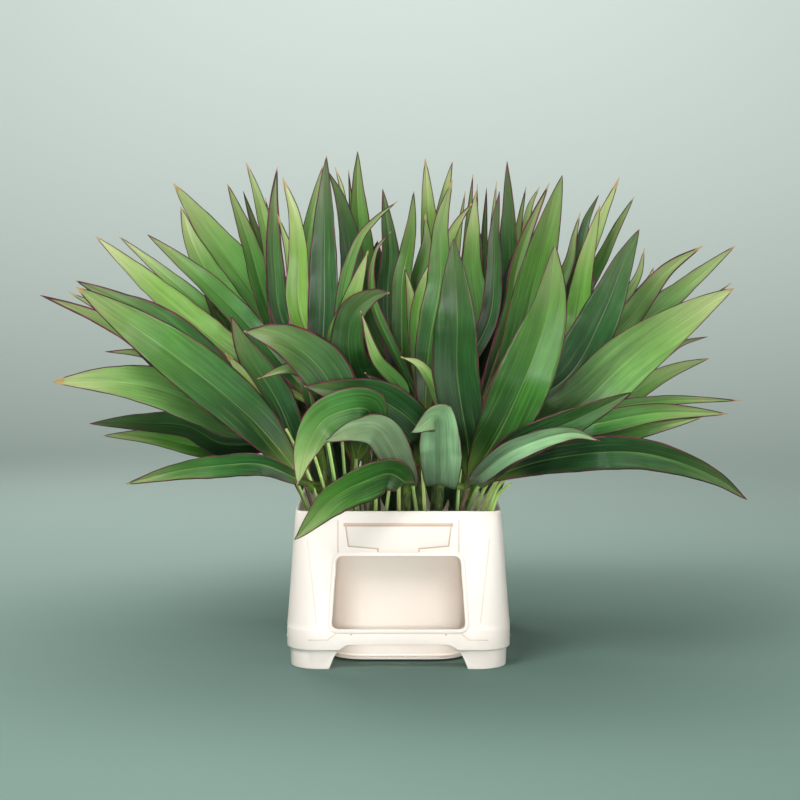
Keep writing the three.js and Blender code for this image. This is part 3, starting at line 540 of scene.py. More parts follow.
def draw():
    global drawState
    drawState = drawState * drawFactor % drawRange
    return drawState / drawRange


def between(span):
    return span[0] + (span[1] - span[0]) * draw()


def unit(vectors):
    return vectors / np.linalg.norm(vectors, axis=-1, keepdims=True)


def dot(a, b):
    return np.sum(a * b, axis=-1, keepdims=True)


eye = np.array(seen["eye"], dtype=float)
frontCells = np.full(laying["cells"], np.inf)
backCells = np.full(laying["cells"], -np.inf)


def wayPoint(points, t):    # a centripetal curve through the points
    last = len(points) - 1
    place = np.clip(t, 0, 1) * last
    first = np.minimum(place.astype(int), last - 1)
    weight = (place - first)[:, None]
    ends = np.vstack([2 * points[0] - points[1], points, 2 * points[-1] - points[-2]])
    p0, p1, p2, p3 = (ends[first + k] for k in range(4))
    pairs = ((p0, p1), (p1, p2), (p2, p3))
    d0, d1, d2 = (np.linalg.norm(b - a, axis=1, keepdims=True) ** 0.5 for a, b in pairs)
    start = ((p1 - p0) / d0 - (p2 - p0) / (d0 + d1) + (p2 - p1) / d1) * d1
    end = ((p2 - p1) / d1 - (p3 - p1) / (d1 + d2) + (p3 - p2) / d2) * d1
    square = -3 * p1 + 3 * p2 - 2 * start - end
    cube = 2 * p1 - 2 * p2 + start + end
    return p1 + weight * (start + weight * (square + weight * cube))


def wayAt(points, shares):    # places and directions by share of the length
    steps = np.linspace(0, 1, laying["steps"])
    marks = wayPoint(points, steps)
    lengths = np.concatenate([[0], np.cumsum(np.linalg.norm(np.diff(marks, axis=0), axis=1))])
    t = np.interp(np.asarray(shares) * lengths[-1], lengths, steps)
    ahead = wayPoint(points, np.minimum(t + laying["nudge"], 1))
    behind = wayPoint(points, np.maximum(t - laying["nudge"], 0))
    return wayPoint(points, t), unit(ahead - behind), lengths[-1]


def caneEnds(name):
    x, y, z = stems[name]
    return np.array([x * cane["lean"], y * cane["lean"], cane["footZ"]]), np.array([x, y, z], dtype=float)


def leafWay(name, points, rank):    # out of the cane, up beside it, then along its way
    foot, head = caneEnds(name)
    along = unit(head - foot)
    root = head - along * (cane["rootTop"] + cane["rootStep"] * rank)
    first = points[0] - root
    rise = root + along * np.linalg.norm(first) * blade["riseAlong"] + first * blade["riseTowards"]
    return np.vstack([root, rise, points])


def widthAt(shares, width):
    t = np.maximum(0, (shares - blade["start"]) / (1 - blade["start"]))
    wide = width * np.sin(np.pi * np.minimum(t, 1) ** blade["peak"]).clip(0) ** blade["full"]
    stalk = blade["stalkWidth"] * np.minimum(1, (1 - shares) * blade["stalkTaper"])
    return wide, stalk


def sectionsAt(way, shares, shown, roll, twist, fine=False):
    middle, along, length = wayAt(way, shares)
    turn = np.arctan2(middle[:, 1], middle[:, 2])
    page = np.stack([np.zeros_like(turn), -np.cos(turn), np.sin(turn)], axis=1)
    normal = unit(page - along * dot(page, along))
    across = np.cross(along, normal)
    lean = np.clip(across[:, 2] * blade["acrossGain"], -1, 1)
    standing = (1 - np.abs(lean)) * twist
    tilt = lean * roll + standing * (blade["twistStart"] + blade["twistGrow"] * shares)
    cos, sin = np.cos(tilt)[:, None], np.sin(tilt)[:, None]
    turned = normal * cos + np.cross(along, normal) * sin
    across = across * cos + np.cross(along, across) * sin
    wide, stalk = widthAt(shares, shown / np.cos(tilt))
    if fine:
        width = np.maximum((wide ** 4 + stalk ** 4) ** 0.25, blade["tipWidth"])
    else:
        width = np.where(shares == 1, blade["solidTip"], np.maximum(wide, stalk))
    t = np.minimum(1, shares / blade["thinFrom"])
    thick = blade["stalkThick"] + (blade["thick"] - blade["stalkThick"]) * t * t * (3 - 2 * t)
    return {"middle": middle, "normal": turned, "across": across, "half": width / 2,
            "thick": thick, "length": length}


def sideLines(sections):
    middle = sections["middle"]
    lift = (2 * sections["half"] * blade["keel"])[:, None] * sections["normal"]
    aside = sections["half"][:, None] * sections["across"]
    return np.stack([middle - aside + lift, middle, middle + aside + lift], axis=1)


def samplesOf(lines, thick):
    points, rows, thicks = [], [], []
    for row in range(len(lines) - 1):
        a, b = lines[row], lines[row + 1]
        steps = max(laying["leastSteps"], math.ceil(np.linalg.norm(b[1] - a[1]) / laying["cell"]))
        t = np.arange(steps + 1) / steps
        for side in (0, 1):
            p = a[side] + (b[side] - a[side]) * t[:, None]
            q = a[side + 1] + (b[side + 1] - a[side + 1]) * t[:, None]
            counts = np.ceil(np.linalg.norm(q - p, axis=1) / laying["cell"]).astype(int)
            counts = np.maximum(1, counts)
            k = np.arange(counts.max() + 1)
            used = k[None, :] <= counts[:, None]
            share = (k[None, :] / counts[:, None])[used]
            which = np.nonzero(used)[0]
            points.append(p[which] + (q - p)[which] * share[:, None])
            rows.append(row + t[which])
            thicks.append(thick[row] + (thick[row + 1] - thick[row]) * t[which])
    points, rows, thicks = np.vstack(points), np.concatenate(rows), np.concatenate(thicks)
    turn, reach = np.arctan2(points[:, 1], points[:, 2]), np.hypot(points[:, 1], points[:, 2])
    column = np.floor((points[:, 0] + laying["left"]) / laying["cell"] + 0.5).astype(int)
    level = np.floor(reach / laying["cell"] + 0.5).astype(int)
    return rows, thicks, turn, reach, column, level


def needsOf(lines, thick, facing):    # how far each section must move to clear what lies there
    rows, thicks, turn, reach, column, level = samplesOf(lines, thick)
    room = (laying["gap"] + thicks / 2) / reach
    worst = np.zeros(len(rows))
    for i in (-1, 0, 1):
        for j in (-1, 0, 1):
            if facing < 0:
                over = turn + room - frontCells[column + i, level + j]
            else:
                over = backCells[column + i, level + j] + room - turn
            worst = np.maximum(worst, over)
    worst *= reach / np.maximum(laying["leastFacing"], np.cos(turn))
    need = np.zeros(len(lines))
    lower = np.floor(rows).astype(int)
    np.maximum.at(need, lower, worst)
    inside = rows > lower
    np.maximum.at(need, lower[inside] + 1, worst[inside])
    return need


def settle(sections, facing):    # bends a leaf clear of those laid before it, along the line of sight
    lines = sideLines(sections)
    middle = sections["middle"]
    spans = np.concatenate([[0], np.linalg.norm(np.diff(middle, axis=0), axis=1)])
    sights = unit(eye - middle)
    moves = np.zeros(len(middle))
    laid = lines
    for attempt in range(laying["rounds"]):
        need = needsOf(laid, sections["thick"], facing)
        if need[laying["rootRows"]:].max() < laying["settled"]:
            break
        moves += need
        for i in range(len(moves) - 2, -1, -1):
            moves[i] = max(moves[i], moves[i + 1] - laying["bend"] * spans[i + 1])
        moves[0] = 0
        for i in range(1, len(moves)):
            moves[i] = min(moves[i], moves[i - 1] + laying["bend"] * spans[i])
            moves[i] = max(moves[i], moves[i - 1] - laying["unbend"] * spans[i])
        laid = lines + (sights * (-facing * moves)[:, None])[:, None, :]
    rows, thicks, turn, reach, column, level = samplesOf(laid, sections["thick"])
    np.minimum.at(frontCells, (column, level), turn - thicks / 2 / reach)
    np.maximum.at(backCells, (column, level), turn + thicks / 2 / reach)
    return moves


leavesOf = {name: [] for name in stems}
extrasOf = {name: [] for name in stems}


def layLeaf(name, width, points, facing, finish, rank=None):    # a leaf with a rank is an extra
    roll = between(blade["roll"])
    twist = between(blade["twist"]) * (-1 if draw() < 0.5 else 1)
    way = leafWay(name, points, len(leavesOf[name]) if rank is None else rank)
    rows = np.array(blade["narrowRows"] if width < blade["broad"] else blade["broadRows"], dtype=float)
    moves = settle(sectionsAt(way, rows, width, roll, twist), facing)
    added = leavesOf if rank is None else extrasOf
    added[name].append({"way": way, "rows": rows, "moves": moves, "facing": facing, "width": width,
                        "roll": roll, "twist": twist, "finish": finish})


def layAside(lay, *values):    # extras fit what lies there so far, but take none of its room or its draws
    global drawState
    keptState, keptFront, keptBack = drawState, frontCells.copy(), backCells.copy()
    drawState = extra["draw"]
    lay(*values)
    drawState = keptState
    frontCells[:], backCells[:] = keptFront, keptBack


def shownWay(name, tipDepth, spots):    # through places seen from the front, from the cane's depth on
    points = []
    for i, (u, v) in enumerate(spots):
        share = seen["depthStart"] + (1 - seen["depthStart"]) * (i + 1) / len(spots)
        y = stems[name][1] + (tipDepth - stems[name][1]) * share ** seen["depthCurve"]
        size = (y - eye[1]) / (seen["plane"] - eye[1])
        points.append((eye[0] + (u - eye[0]) * size, y, eye[2] + (v - eye[2]) * size))
    return np.array(points)


def layShown(leaves, facing, firstRank=None):    # extras root from a first rank on, two at a height
    for i, (name, width, tipDepth, finish, *spots) in enumerate(leaves):
        rank = None if firstRank is None else firstRank + i // 2
        layLeaf(name, width, shownWay(name, tipDepth, spots), facing, finish, rank)


def layStalks():
    for i, (name, width, finish, *spots) in enumerate(rimStalks):
        way = shownWay(name, stems[name][1] - extra["stalkForward"], spots)
        layLeaf(name, width, way, -1, finish, extra["stalkRank"] + i % extra["stalkRanks"])


def farLeaf(name, i):    # fanned out sideways and arched away to the back
    x0, y0, z0 = stems[name]
    start = math.atan2(y0, z0)
    outward = i / (farCount[name] - 1) if name[0] == "e" else 0
    side = ((i * far["golden"] + (x0 + far["stemShift"]) / far["stemSpan"]) % 1) * 2 - 1
    spread = side * (far["spread"] + far["spreadOut"] * outward) + x0 * far["spreadStem"]
    reach = between(far["reach"]) - abs(spread) * far["lower"] - far["lowerOut"] * outward
    lean = start + between(far["lean"]) + far["leanOut"] * outward
    points = []
    for share in far["shares"]:
        r = z0 + (reach - z0) * math.sin(share * math.pi / 2)
        turn = start + (lean - start) * share * share
        x = x0 + (spread - x0) * share ** far["spreadCurve"]
        points.append((x, r * math.sin(turn), r * math.cos(turn)))
    return between(far["width"]), np.array(points)


def layFar():    # the leaves of a row in turn, one on each stem
    count = 0
    for row in "de":
        for i in range(max(farCount.values())):
            for name in farCount:
                if name[0] == row and i < farCount[name]:
                    width, points = farLeaf(name, i)
                    layLeaf(name, width, points, 1, farFinishes[count % len(farFinishes)])
                    count += 1


def layFoliage():    # the order counts, because a leaf is laid clear of those before it
    layShown(middleLeaves, -1)
    layAside(layStalks)
    layShown(nearLeaves, -1)
    layAside(layShown, innerLeaves, 1, extra["innerRank"])
    layShown(backLeaves, 1)
    layAside(layShown, tipLeaves, 1, extra["tipRank"])
    layFar()


def glided(rows, moves, shares):    # a smooth line through the moves that never overshoots
    spans = np.diff(rows)
    slopes = np.diff(moves) / spans
    tangents = np.zeros(len(rows))
    for i in range(1, len(rows) - 1):
        if slopes[i - 1] * slopes[i] > 0:
            a, b = 2 * spans[i] + spans[i - 1], spans[i] + 2 * spans[i - 1]
            tangents[i] = (a + b) / (a / slopes[i - 1] + b / slopes[i])
    tangents[0], tangents[-1] = slopes[0], slopes[-1]
    i = np.clip(np.searchsorted(rows, shares, "right") - 1, 0, len(spans) - 1)
    t = (shares - rows[i]) / spans[i]
    a, b = tangents[i] * spans[i], tangents[i + 1] * spans[i]
    rise = moves[i + 1] - moves[i]
    return moves[i] + t * (a + t * (3 * rise - 2 * a - b + t * (a + b - 2 * rise)))


def marginWave(side, alongMm, shares, half, full, seed):    # margins wave gently, each in its own time
    phase = seed * blade["waveTurn"] + np.where(side < 0, 0.0, blade["waveApart"])
    waves = alongMm / blade["waveLong"]
    second = blade["waveSecond"] * np.sin(waves * blade["waveQuick"] + phase * 2)
    wave = np.sin(waves * blade["waveTurn"] + phase) + second
    wave = wave * blade["wave"] * np.abs(side) ** blade["waveOut"] * full
    return wave * np.minimum(1, half / blade["waveFull"]) * np.sin(np.pi * shares) ** 0.5


def quads(first, *steps):
    return np.stack([first] + [first + step for step in steps], axis=1)


def sheetFaces(rows, columns):    # two grids of points, top and bottom, closed around their edges
    count, size = columns + 1, rows * (columns + 1)
    i, j = np.meshgrid(np.arange(rows - 1), np.arange(columns), indexing="ij")
    cells = (i * count + j).ravel()
    left, root = np.arange(rows - 1) * count, np.arange(columns)
    return np.concatenate([
        quads(cells, 1, count + 1, count),
        quads(cells + size, count, count + 1, 1),
        quads(left, count, count + size, size),
        quads(left + columns, size, count + size, count),
        quads(root, size, size + 1, 1),
        quads(root + (rows - 1) * count, 1, size + 1, size),
    ])


def leafMesh(leaf, seed):
    bare = leaf["finish"] in bareStalk["finishes"]
    rows, columns = (bareStalk if bare else blade)["grid"]
    shares = np.linspace(0, 1, rows)
    part = sectionsAt(leaf["way"], shares, leaf["width"], leaf["roll"], leaf["twist"], fine=True)
    move = glided(leaf["rows"], leaf["moves"], shares)
    middle = part["middle"] + unit(eye - part["middle"]) * (-leaf["facing"] * move)[:, None]
    side = np.linspace(-1, 1, columns + 1)
    side = (np.sign(side) * np.abs(side) ** blade["crowd"])[None, :]
    off = np.abs(side)
    half, thick = part["half"][:, None], part["thick"][:, None]
    alongMm = (shares * part["length"])[:, None]
    shares = shares[:, None]
    if bare:
        half = leaf["width"] / 2 * (1 - bareStalk["taper"] * shares)
        thick = half * bareStalk["thick"]
    start, over = blade["fromStalk"]
    full = np.clip((shares - start) / over, 0, 1)
    full = full * full * (3 - 2 * full) * (not bare)    # 0 on the stalk, 1 on the blade
    lift = 2 * half * blade["keel"] * off ** blade["keelCurve"]
    lift = lift + marginWave(side, alongMm, shares, half, full, seed)
    groove = blade["groove"] * np.exp(-(off * half / blade["grooveWide"]) ** 2) * full
    ridge = blade["ridge"] * np.exp(-(off * half / blade["ridgeWide"]) ** 2) * full
    ridge = ridge * (1 - shares * blade["ridgeFade"])
    bladeHalf = (thick * (1 - off ** 4) + blade["edgeThick"] * off ** 4) / 2
    low, rise, curve = blade["gutter"]
    upper = full * bladeHalf + (1 - full) * thick * (low + rise * off ** curve)
    belly, flat, raised = blade["belly"]
    under = full * bladeHalf + (1 - full) * thick * (belly * np.sqrt(1 - flat * off * off) - raised)
    base = middle[:, None, :] + (side * half)[:, :, None] * part["across"][:, None, :]
    normal = part["normal"][:, None, :]
    top = base + normal * (lift + upper - groove)[:, :, None]
    bottom = base + normal * (lift - under - ridge)[:, :, None]
    points = np.concatenate([top.reshape(-1, 3), bottom.reshape(-1, 3)])

    color, purple, dry, bright = finishes[leaf["finish"]]
    yellower = 1 + blade["yellower"] * (seed - 0.5)
    greener = 1 + blade["greener"] * (seed * blade["greenSeed"] % 1 - 0.5)
    tone = np.array(srgb(*color))[:3] * [yellower, greener, 1]
    purple *= blade["redLeast"] + blade["redMore"] * (seed * blade["redSeed"] % 1)
    dry *= blade["dryLeast"] + blade["dryMore"] * (seed * blade["drySeed"] % 1)
    one = np.ones((rows, columns + 1))
    across = np.stack([one * side, one * half, one], axis=-1).reshape(-1, 3)
    along = np.stack([one * shares, one * alongMm, one * seed], axis=-1).reshape(-1, 3)
    return {
        "points": points, "faces": sheetFaces(rows, columns),
        "across": np.concatenate([across, across * [1, 1, 0]]), "along": np.concatenate([along, along]),
        "marks": np.tile([purple, dry, bright], (len(points), 1)),
        "green": np.tile([*tone, 1.0], (len(points), 1)),
    }


def caneMesh(name):
    foot, head = caneEnds(name)
    along = unit(head - foot)
    across = unit(np.array([1.0, 0, 0]) - along * along[0])
    other = np.cross(along, across)
    length = np.linalg.norm(head - foot)
    tips = [1 + cane["tip"] * share / length for share in cane["tipRings"]]
    turns = (np.arange(cane["sides"]) / cane["sides"] * 2 * np.pi)[:, None]
    points = []
    for share in np.concatenate([np.linspace(0, 1, cane["rings"]), tips]):
        down = share * length
        radius = cane["radius"] - cane["taper"] * min(share, 1)
        if share > 1:
            radius += (cane["tipRadius"] - radius) * (down - length) / cane["tip"]
        scar = (down % cane["ringEvery"]) / cane["ringEvery"]
        radius -= cane["ringDeep"] * (scar < cane["ringShare"])
        ring = foot + along * down + radius * (np.cos(turns) * across + np.sin(turns) * other)
        if share == 0:
            ring[:, 2] = foot[2]
        points.append(ring)
    return np.array(points)


def meshObject(name, points, faces):
    mesh = bpy.data.meshes.new(name)
    mesh.vertices.add(len(points))
    mesh.vertices.foreach_set("co", np.ascontiguousarray(points, dtype=np.float32).ravel())
    sizes = np.array([len(face) for face in faces])
    mesh.loops.add(int(sizes.sum()))
    mesh.loops.foreach_set("vertex_index", np.concatenate(faces).astype(np.int32))
    mesh.polygons.add(len(faces))
    starts = np.concatenate([[0], np.cumsum(sizes)[:-1]]).astype(np.int32)
    mesh.polygons.foreach_set("loop_start", starts)
    mesh.update(calc_edges=True)
    mesh.validate()
    made = bpy.data.objects.new(name, mesh)
    bpy.context.collection.objects.link(made)
    return made


def addAttribute(made, name, kind, values):
    layer = made.data.attributes.new(name, kind, "POINT")
    field = "color" if kind == "FLOAT_COLOR" else "vector"
    layer.data.foreach_set(field, np.ascontiguousarray(values, dtype=np.float32).ravel())


def tubeFaces(rings, sides, closed=True):
    faces = []
    for i in range(rings - 1):
        for j in range(sides):
            k = (j + 1) % sides
            faces.append((i * sides + j, i * sides + k, (i + 1) * sides + k, (i + 1) * sides + j))
    if closed:
        faces.append(tuple(range(sides - 1, -1, -1)))
        faces.append(tuple((rings - 1) * sides + j for j in range(sides)))
    return faces


leafMaterial = makeLeafMaterial()
caneMaterial = makeCaneMaterial()


def makeStem(name, order):
    seeds = order * blade["seedStem"]
    leaves = leavesOf[name] + extrasOf[name]
    parts = [leafMesh(leaf, (seeds + i) * blade["seedLeaf"] % 1) for i, leaf in enumerate(leaves)]
    starts = np.cumsum([0] + [len(part["points"]) for part in parts])
    faces = [face for part, start in zip(parts, starts) for face in (part["faces"] + start).tolist()]
    leafFaces = len(faces)
    tube = caneMesh(name)
    rings, sides = tube.shape[:2]
    faces += [[starts[-1] + corner for corner in face] for face in tubeFaces(rings, sides)]
    points = np.concatenate([part["points"] for part in parts] + [tube.reshape(-1, 3)])
    made = meshObject("stem_" + name + "_leafy", placed(points), faces)
    for key in ("across", "along", "marks", "green"):
        kind, width = ("FLOAT_COLOR", 4) if key == "green" else ("FLOAT_VECTOR", 3)
        plain = np.zeros((rings * sides, width))
        addAttribute(made, key, kind, np.concatenate([part[key] for part in parts] + [plain]))
    made.data.materials.append(leafMaterial)
    made.data.materials.append(caneMaterial)
    polygons = made.data.polygons
    onCane = np.arange(len(polygons)) >= leafFaces
    polygons.foreach_set("material_index", onCane.astype(np.int32))
    polygons.foreach_set("use_smooth", np.ones(len(polygons), dtype=bool))
    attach(made, "root")
    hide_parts("stem_" + name)


layFoliage()
for order, name in enumerate(stems):
    makeStem(name, order)
print("leafy stems:", sum(len(leaves) for leaves in leavesOf.values()), "leaves")

# Levels are height, half-width across the short side and corner radius, from the floor inside over
# the rim, down the skirt outside, up inside it and down the bucket to its underside. The long side is
# longer each way. Outlines are (u, z) on a side, with u from its middle.
container = {
    "longer": 50, "corner": 10, "plainLevels": (0.6, 24.6, 28.2, 53, 62, 180, 211.4),
    "inside": ((7, 84, 37), (7.5, 88, 41.5), (9.5, 90.6, 44), (150, 100, 46), (164, 103, 43), (178, 108, 38),
               (190, 116, 27), (200, 126, 16), (211.8, 134.2, 12), (212.7, 134.8, 12.4)),
    "outside": ((213, 135.8, 13), (213, 137.3, 14), (212.5, 138.2, 14.8), (211.4, 138.6, 15), (180, 140.8, 19),
                (62, 149.7, 38), (55.4, 150.1, 39.2), (54, 150.9, 40.4), (53, 151.1, 41), (28.2, 151.1, 42),
                (27, 150.7, 41.8), (25.6, 147.6, 41.2), (24.6, 147, 41), (2, 146.1, 41), (0.6, 145.7, 40.6),
                (0, 145, 40)),
    "skirt": ((0, 143, 38), (0.6, 142.3, 37.3), (2, 142, 37), (53, 146, 38), (180, 137, 15),
              (203, 136.3, 14.5)),
    "bucket": ((199, 132, 21), (188, 121, 31), (176, 112, 42), (164, 107.6, 46), (148, 104, 50),
               (11, 94.9, 48), (9.8, 96, 49), (7.8, 96, 49), (6.6, 94.7, 48), (4, 94.4, 47.8), (3.2, 93.6, 47),
               (3, 92.6, 46)),
    "cut": (123, 165), "cutEdge": 0.9, "cutSteps": 3, "smoothTo": 32, "sharpest": 0.4,
    "window": {"bottom": 55, "top": 153, "halfBottom": 90, "halfTop": 83, "round": 10, "steps": 7},
    "arch": {"halfFoot": 93.5, "halfKnee": 88, "knee": 14, "halfTop": 64, "top": 33.6, "shoulder": 14,
             "below": -10.0, "steps": 9},
    "plate": ((-70, 193), (-66.6, 167), (-27, 163.5), (-27, 158), (27, 158), (27, 163.5), (66.6, 167),
              (70, 193)),
    # Reliefs: how far a ring lies out from the outline and how far it stands proud. Tones say how much
    # painted shade, in the line colour, each ring gets.
    "bead": ((-0.2, -3.2), (0.0, 0.6), (0.8, 1.25), (4.4, 1.25), (5.3, 0.8), (5.8, -0.8)),
    "beadShade": (0.5, 0.1, 0, 0, 0.2, 0.9),
    "plateEdge": ((2.2, -0.5), (0.2, 0.9), (-0.9, 1.3)), "plateShade": (1, 0.8, 0),
    # Raised lines: both ends, whether they keep to the side's ends, width, how proud, and their painted shade.
    "plateTop": ((-72, 195.8), (72, 195.8), 2.6, 0.8, 0.9),
    "lines": {
        "fold": ((81, 158), (81, 201), True, 1.6, 0.5, 0.6),
        "crease": ((110, 64), (122, 176), True, 1.3, 0.3, 0.4),
        "chamfer": ((95, 41), (83, 50.5), True, 1.2, 0.4, 0.6),
        "ledge": ((120, 41), (95, 41), True, 1.2, 0.4, 0.6),
        "peg": ((71.5, 193.2), (71.5, 196.6), False, 3.2, 1.5, 1.0),
        "dot": ((64, 47.2), (64, 48.8), True, 1.6, 0.7, 1.0),
    },
    "lineEdge": ((0.5, -0.5), (0.1, 0.6), (-0.25, 1)), "lineTopShade": 0.6,
    # Faces behind the wall get a warm painted shade, most of all at its middle, and dirt lies below the rim.
    "wall": 2.4, "warmShadeTop": 205, "warmShadePlain": 0.15, "warmShadeMore": 0.85, "warmShadeOver": 5,
    "dirtLevels": (165, 212), "dirt": 0.8,
}


def wider(side):    # how much further out a side's ends lie than the short side's
    return container["longer"] if side % 2 else 0


def deeper(side):    # how much further from the middle its wall stands
    return 0 if side % 2 else container["longer"]


def outsideAt(z, column):
    plain = sorted(level for level in container["outside"] if level[0] in container["plainLevels"])
    return np.interp(z, [level[0] for level in plain], [level[column] for level in plain])


def planRing(half, radius, z, steps):
    ring = []
    for quarter, (sx, sy) in enumerate(((1, 1), (-1, 1), (-1, -1), (1, -1))):
        for i in range(steps + 1):
            turn = (quarter + i / steps) * math.pi / 2
            ring.append((sx * (half - radius) + radius * math.cos(turn),
                         sy * (half + container["longer"] - radius) + radius * math.sin(turn), z))
    return ring


def planLoft(name, levels, steps):
    rings = [planRing(half, radius, z, steps) for z, half, radius in levels]
    sides = len(rings[0])
    return meshObject(name, placed(np.array(rings).reshape(-1, 3)), tubeFaces(len(rings), sides))


def curved(start, bend, end, t):
    return (1 - t) ** 2 * start + 2 * t * (1 - t) * bend + t * t * end


def windowOutline(side):
    window = container["window"]
    low, high = window["halfBottom"] + wider(side), window["halfTop"] + wider(side)
    bottom, top, steps = window["bottom"], window["top"], window["steps"]
    corners = np.array([(-low, bottom), (low, bottom), (high, top), (-high, top)], dtype=float)
    outline = []
    for i, here in enumerate(corners):
        before = here + unit(corners[i - 1] - here) * window["round"]
        after = here + unit(corners[(i + 1) % 4] - here) * window["round"]
        outline += [curved(before, here, after, k / steps) for k in range(steps + 1)]
    return np.array(outline)


def archOutline(side):
    arch = container["arch"]
    right = [(arch["halfFoot"], arch["below"]), (arch["halfFoot"], 0), (arch["halfKnee"], arch["knee"])]
    right = [np.array(spot, dtype=float) for spot in right]
    start, end = right[-1], np.array((arch["halfTop"], arch["top"]))
    bend = np.array((arch["halfTop"] + arch["shoulder"], arch["top"]))
    right += [curved(start, bend, end, k / arch["steps"]) for k in range(1, arch["steps"] + 1)]
    right = np.array(right) + [wider(side), 0]
    return np.concatenate([right, (right * [-1, 1])[::-1]])


def grown(outline, amount):    # each point moves along its corner's bisector
    before = unit(outline - np.roll(outline, 1, axis=0))
    after = unit(np.roll(outline, -1, axis=0) - outline)
    normal = unit(np.stack([before[:, 1] + after[:, 1], -before[:, 0] - after[:, 0]], axis=1))
    square = np.stack([before[:, 1], -before[:, 0]], axis=1)
    return outline + normal * amount / np.maximum(container["sharpest"], dot(normal, square))


def onSide(flat, away, side):    # outline points (u, z) and their distance from the middle
    turn = side * math.pi / 2
    u, z = flat[:, 0], flat[:, 1]
    away = np.broadcast_to(away, u.shape)
    x = u * math.cos(turn) + away * math.sin(turn)
    y = u * math.sin(turn) - away * math.cos(turn)
    return np.stack([x, y, z], axis=1)


def addPlastic(made):    # twice, so that cut faces can be told from the others by their slot
    made.data.materials.append(plasticMaterial)
    made.data.materials.append(plasticMaterial)


def prism(name, outline, side):    # a cutter through one wall
    start, end = (value + deeper(side) for value in container["cut"])
    count = len(outline)
    points = np.concatenate([onSide(outline, end, side), onSide(outline, start, side)])
    faces = [tuple(range(count)), tuple(range(2 * count - 1, count - 1, -1))]
    faces += [(i, i + count, (i + 1) % count + count, (i + 1) % count) for i in range(count)]
    return meshObject(name, placed(points), faces)


def relief(name, outline, steps, side, shadeTones, cap=False):    # a form that stands on the skirt's wall
    rings = []
    for grow, proud in steps:
        flat = grown(outline, grow)
        rings.append(onSide(flat, outsideAt(flat[:, 1], 1) + deeper(side) + proud, side))
    count = len(outline)
    last = (len(rings) - 1) * count
    faces = tubeFaces(len(rings), count, closed=False)
    if cap:
        faces.append(tuple(last + j for j in range(count)))
        faces.append(tuple(range(count - 1, -1, -1)))
    else:
        faces += [(last + j, last + (j + 1) % count, (j + 1) % count, j) for j in range(count)]
        faces = [face[::-1] for face in faces]
    made = meshObject(name, placed(np.concatenate(rings)), faces)
    values = np.zeros((len(rings), count, 3))
    # Each ring's painted shade goes into the line slot.
    values[:, :, 1] = np.array(shadeTones)[:, None]
    addAttribute(made, "plastic", "FLOAT_VECTOR", values.reshape(-1, 3))
    addPlastic(made)
    return made


def bar(name, ends, wide, side, proud, tone):    # a thin raised line from one (u, z) to another
    start, end = np.array(ends, dtype=float)
    along = unit(end - start)
    across = np.array([-along[1], along[0]]) * wide / 2
    outline = np.array([start - across, end - across, end + across, start + across])
    foot, (out, share), (inwards, full) = container["lineEdge"]
    steps = (foot, (out, proud * share), (wide * inwards, proud * full))
    # The bar's sides carry painted shade, its top less.
    return relief(name, outline, steps, side, (tone, tone, tone * container["lineTopShade"]), cap=True)


def onlySelect(*pieces):    # the first one becomes active
    bpy.ops.object.select_all(action="DESELECT")
    for piece in pieces:
        piece.select_set(True)
    bpy.context.view_layer.objects.active = pieces[0]


def joined(name, pieces):
    onlySelect(*pieces)
    bpy.ops.object.join()
    pieces[0].name = name
    return pieces[0]


def applied(piece, kind, **settings):
    onlySelect(piece)
    modifier = piece.modifiers.new(kind.lower(), kind)
    for key, value in settings.items():
        setattr(modifier, key, value)
    bpy.ops.object.modifier_apply(modifier=modifier.name)


def cutOpenings(body):    # windows and arches, with only their cut edges rounded
    cutters = []
    for side in range(4):
        cutters.append(prism("windowCut", windowOutline(side), side))
        cutters.append(prism("archCut", archOutline(side), side))
    cutter = joined("cutters", cutters)
    addPlastic(cutter)
    for face in cutter.data.polygons:
        face.material_index = 1
    applied(body, "BOOLEAN", operation="DIFFERENCE", object=cutter, solver="EXACT")
    bpy.data.objects.remove(cutter)
    mesh = body.data
    kinds = {}
    for face in mesh.polygons:
        for key in face.edge_keys:
            kinds.setdefault(key, set()).add(face.material_index)
    weight = mesh.attributes.new("bevel_weight_edge", "FLOAT", "EDGE")
    weight.data.foreach_set("value", [float(len(kinds.get(edge.key, ())) > 1) for edge in mesh.edges])
    applied(body, "BEVEL", width=container["cutEdge"] / 1000, segments=container["cutSteps"],
            limit_method="WEIGHT", use_clamp_overlap=False)
    for face in body.data.polygons:
        face.material_index = 0


def markPlastic(body):    # where painted warm shade goes behind the wall, and where dirt lies
    spots = np.zeros(len(body.data.vertices) * 3)
    body.data.vertices.foreach_get("co", spots)
    spots = spots.reshape(-1, 3) * 1000 - [containerX * 1000, containerY * 1000, 0]
    z = spots[:, 2]
    half, corner = outsideAt(z, 1), outsideAt(z, 2)
    off = np.abs(spots[:, :2]) - np.stack([half - corner, half + container["longer"] - corner], axis=1)
    depth = corner - np.linalg.norm(np.maximum(off, 0), axis=1) - np.minimum(off.max(axis=1), 0)
    behind = depth > container["wall"]
    turned = np.clip(off.min(axis=1) / container["warmShadeOver"] + 1, 0, 1)
    warmShadeBy = container["warmShadePlain"] + container["warmShadeMore"] * turned
    lowest, highest = container["dirtLevels"]
    values = np.zeros((len(spots), 3))
    # Painted warm shade on faces behind the wall, below its top.
    values[:, 0] = behind * (z < container["warmShadeTop"]) * warmShadeBy
    values[:, 2] = behind * (z > lowest) * (z < highest) * container["dirt"]
    addAttribute(body, "plastic", "FLOAT_VECTOR", values)


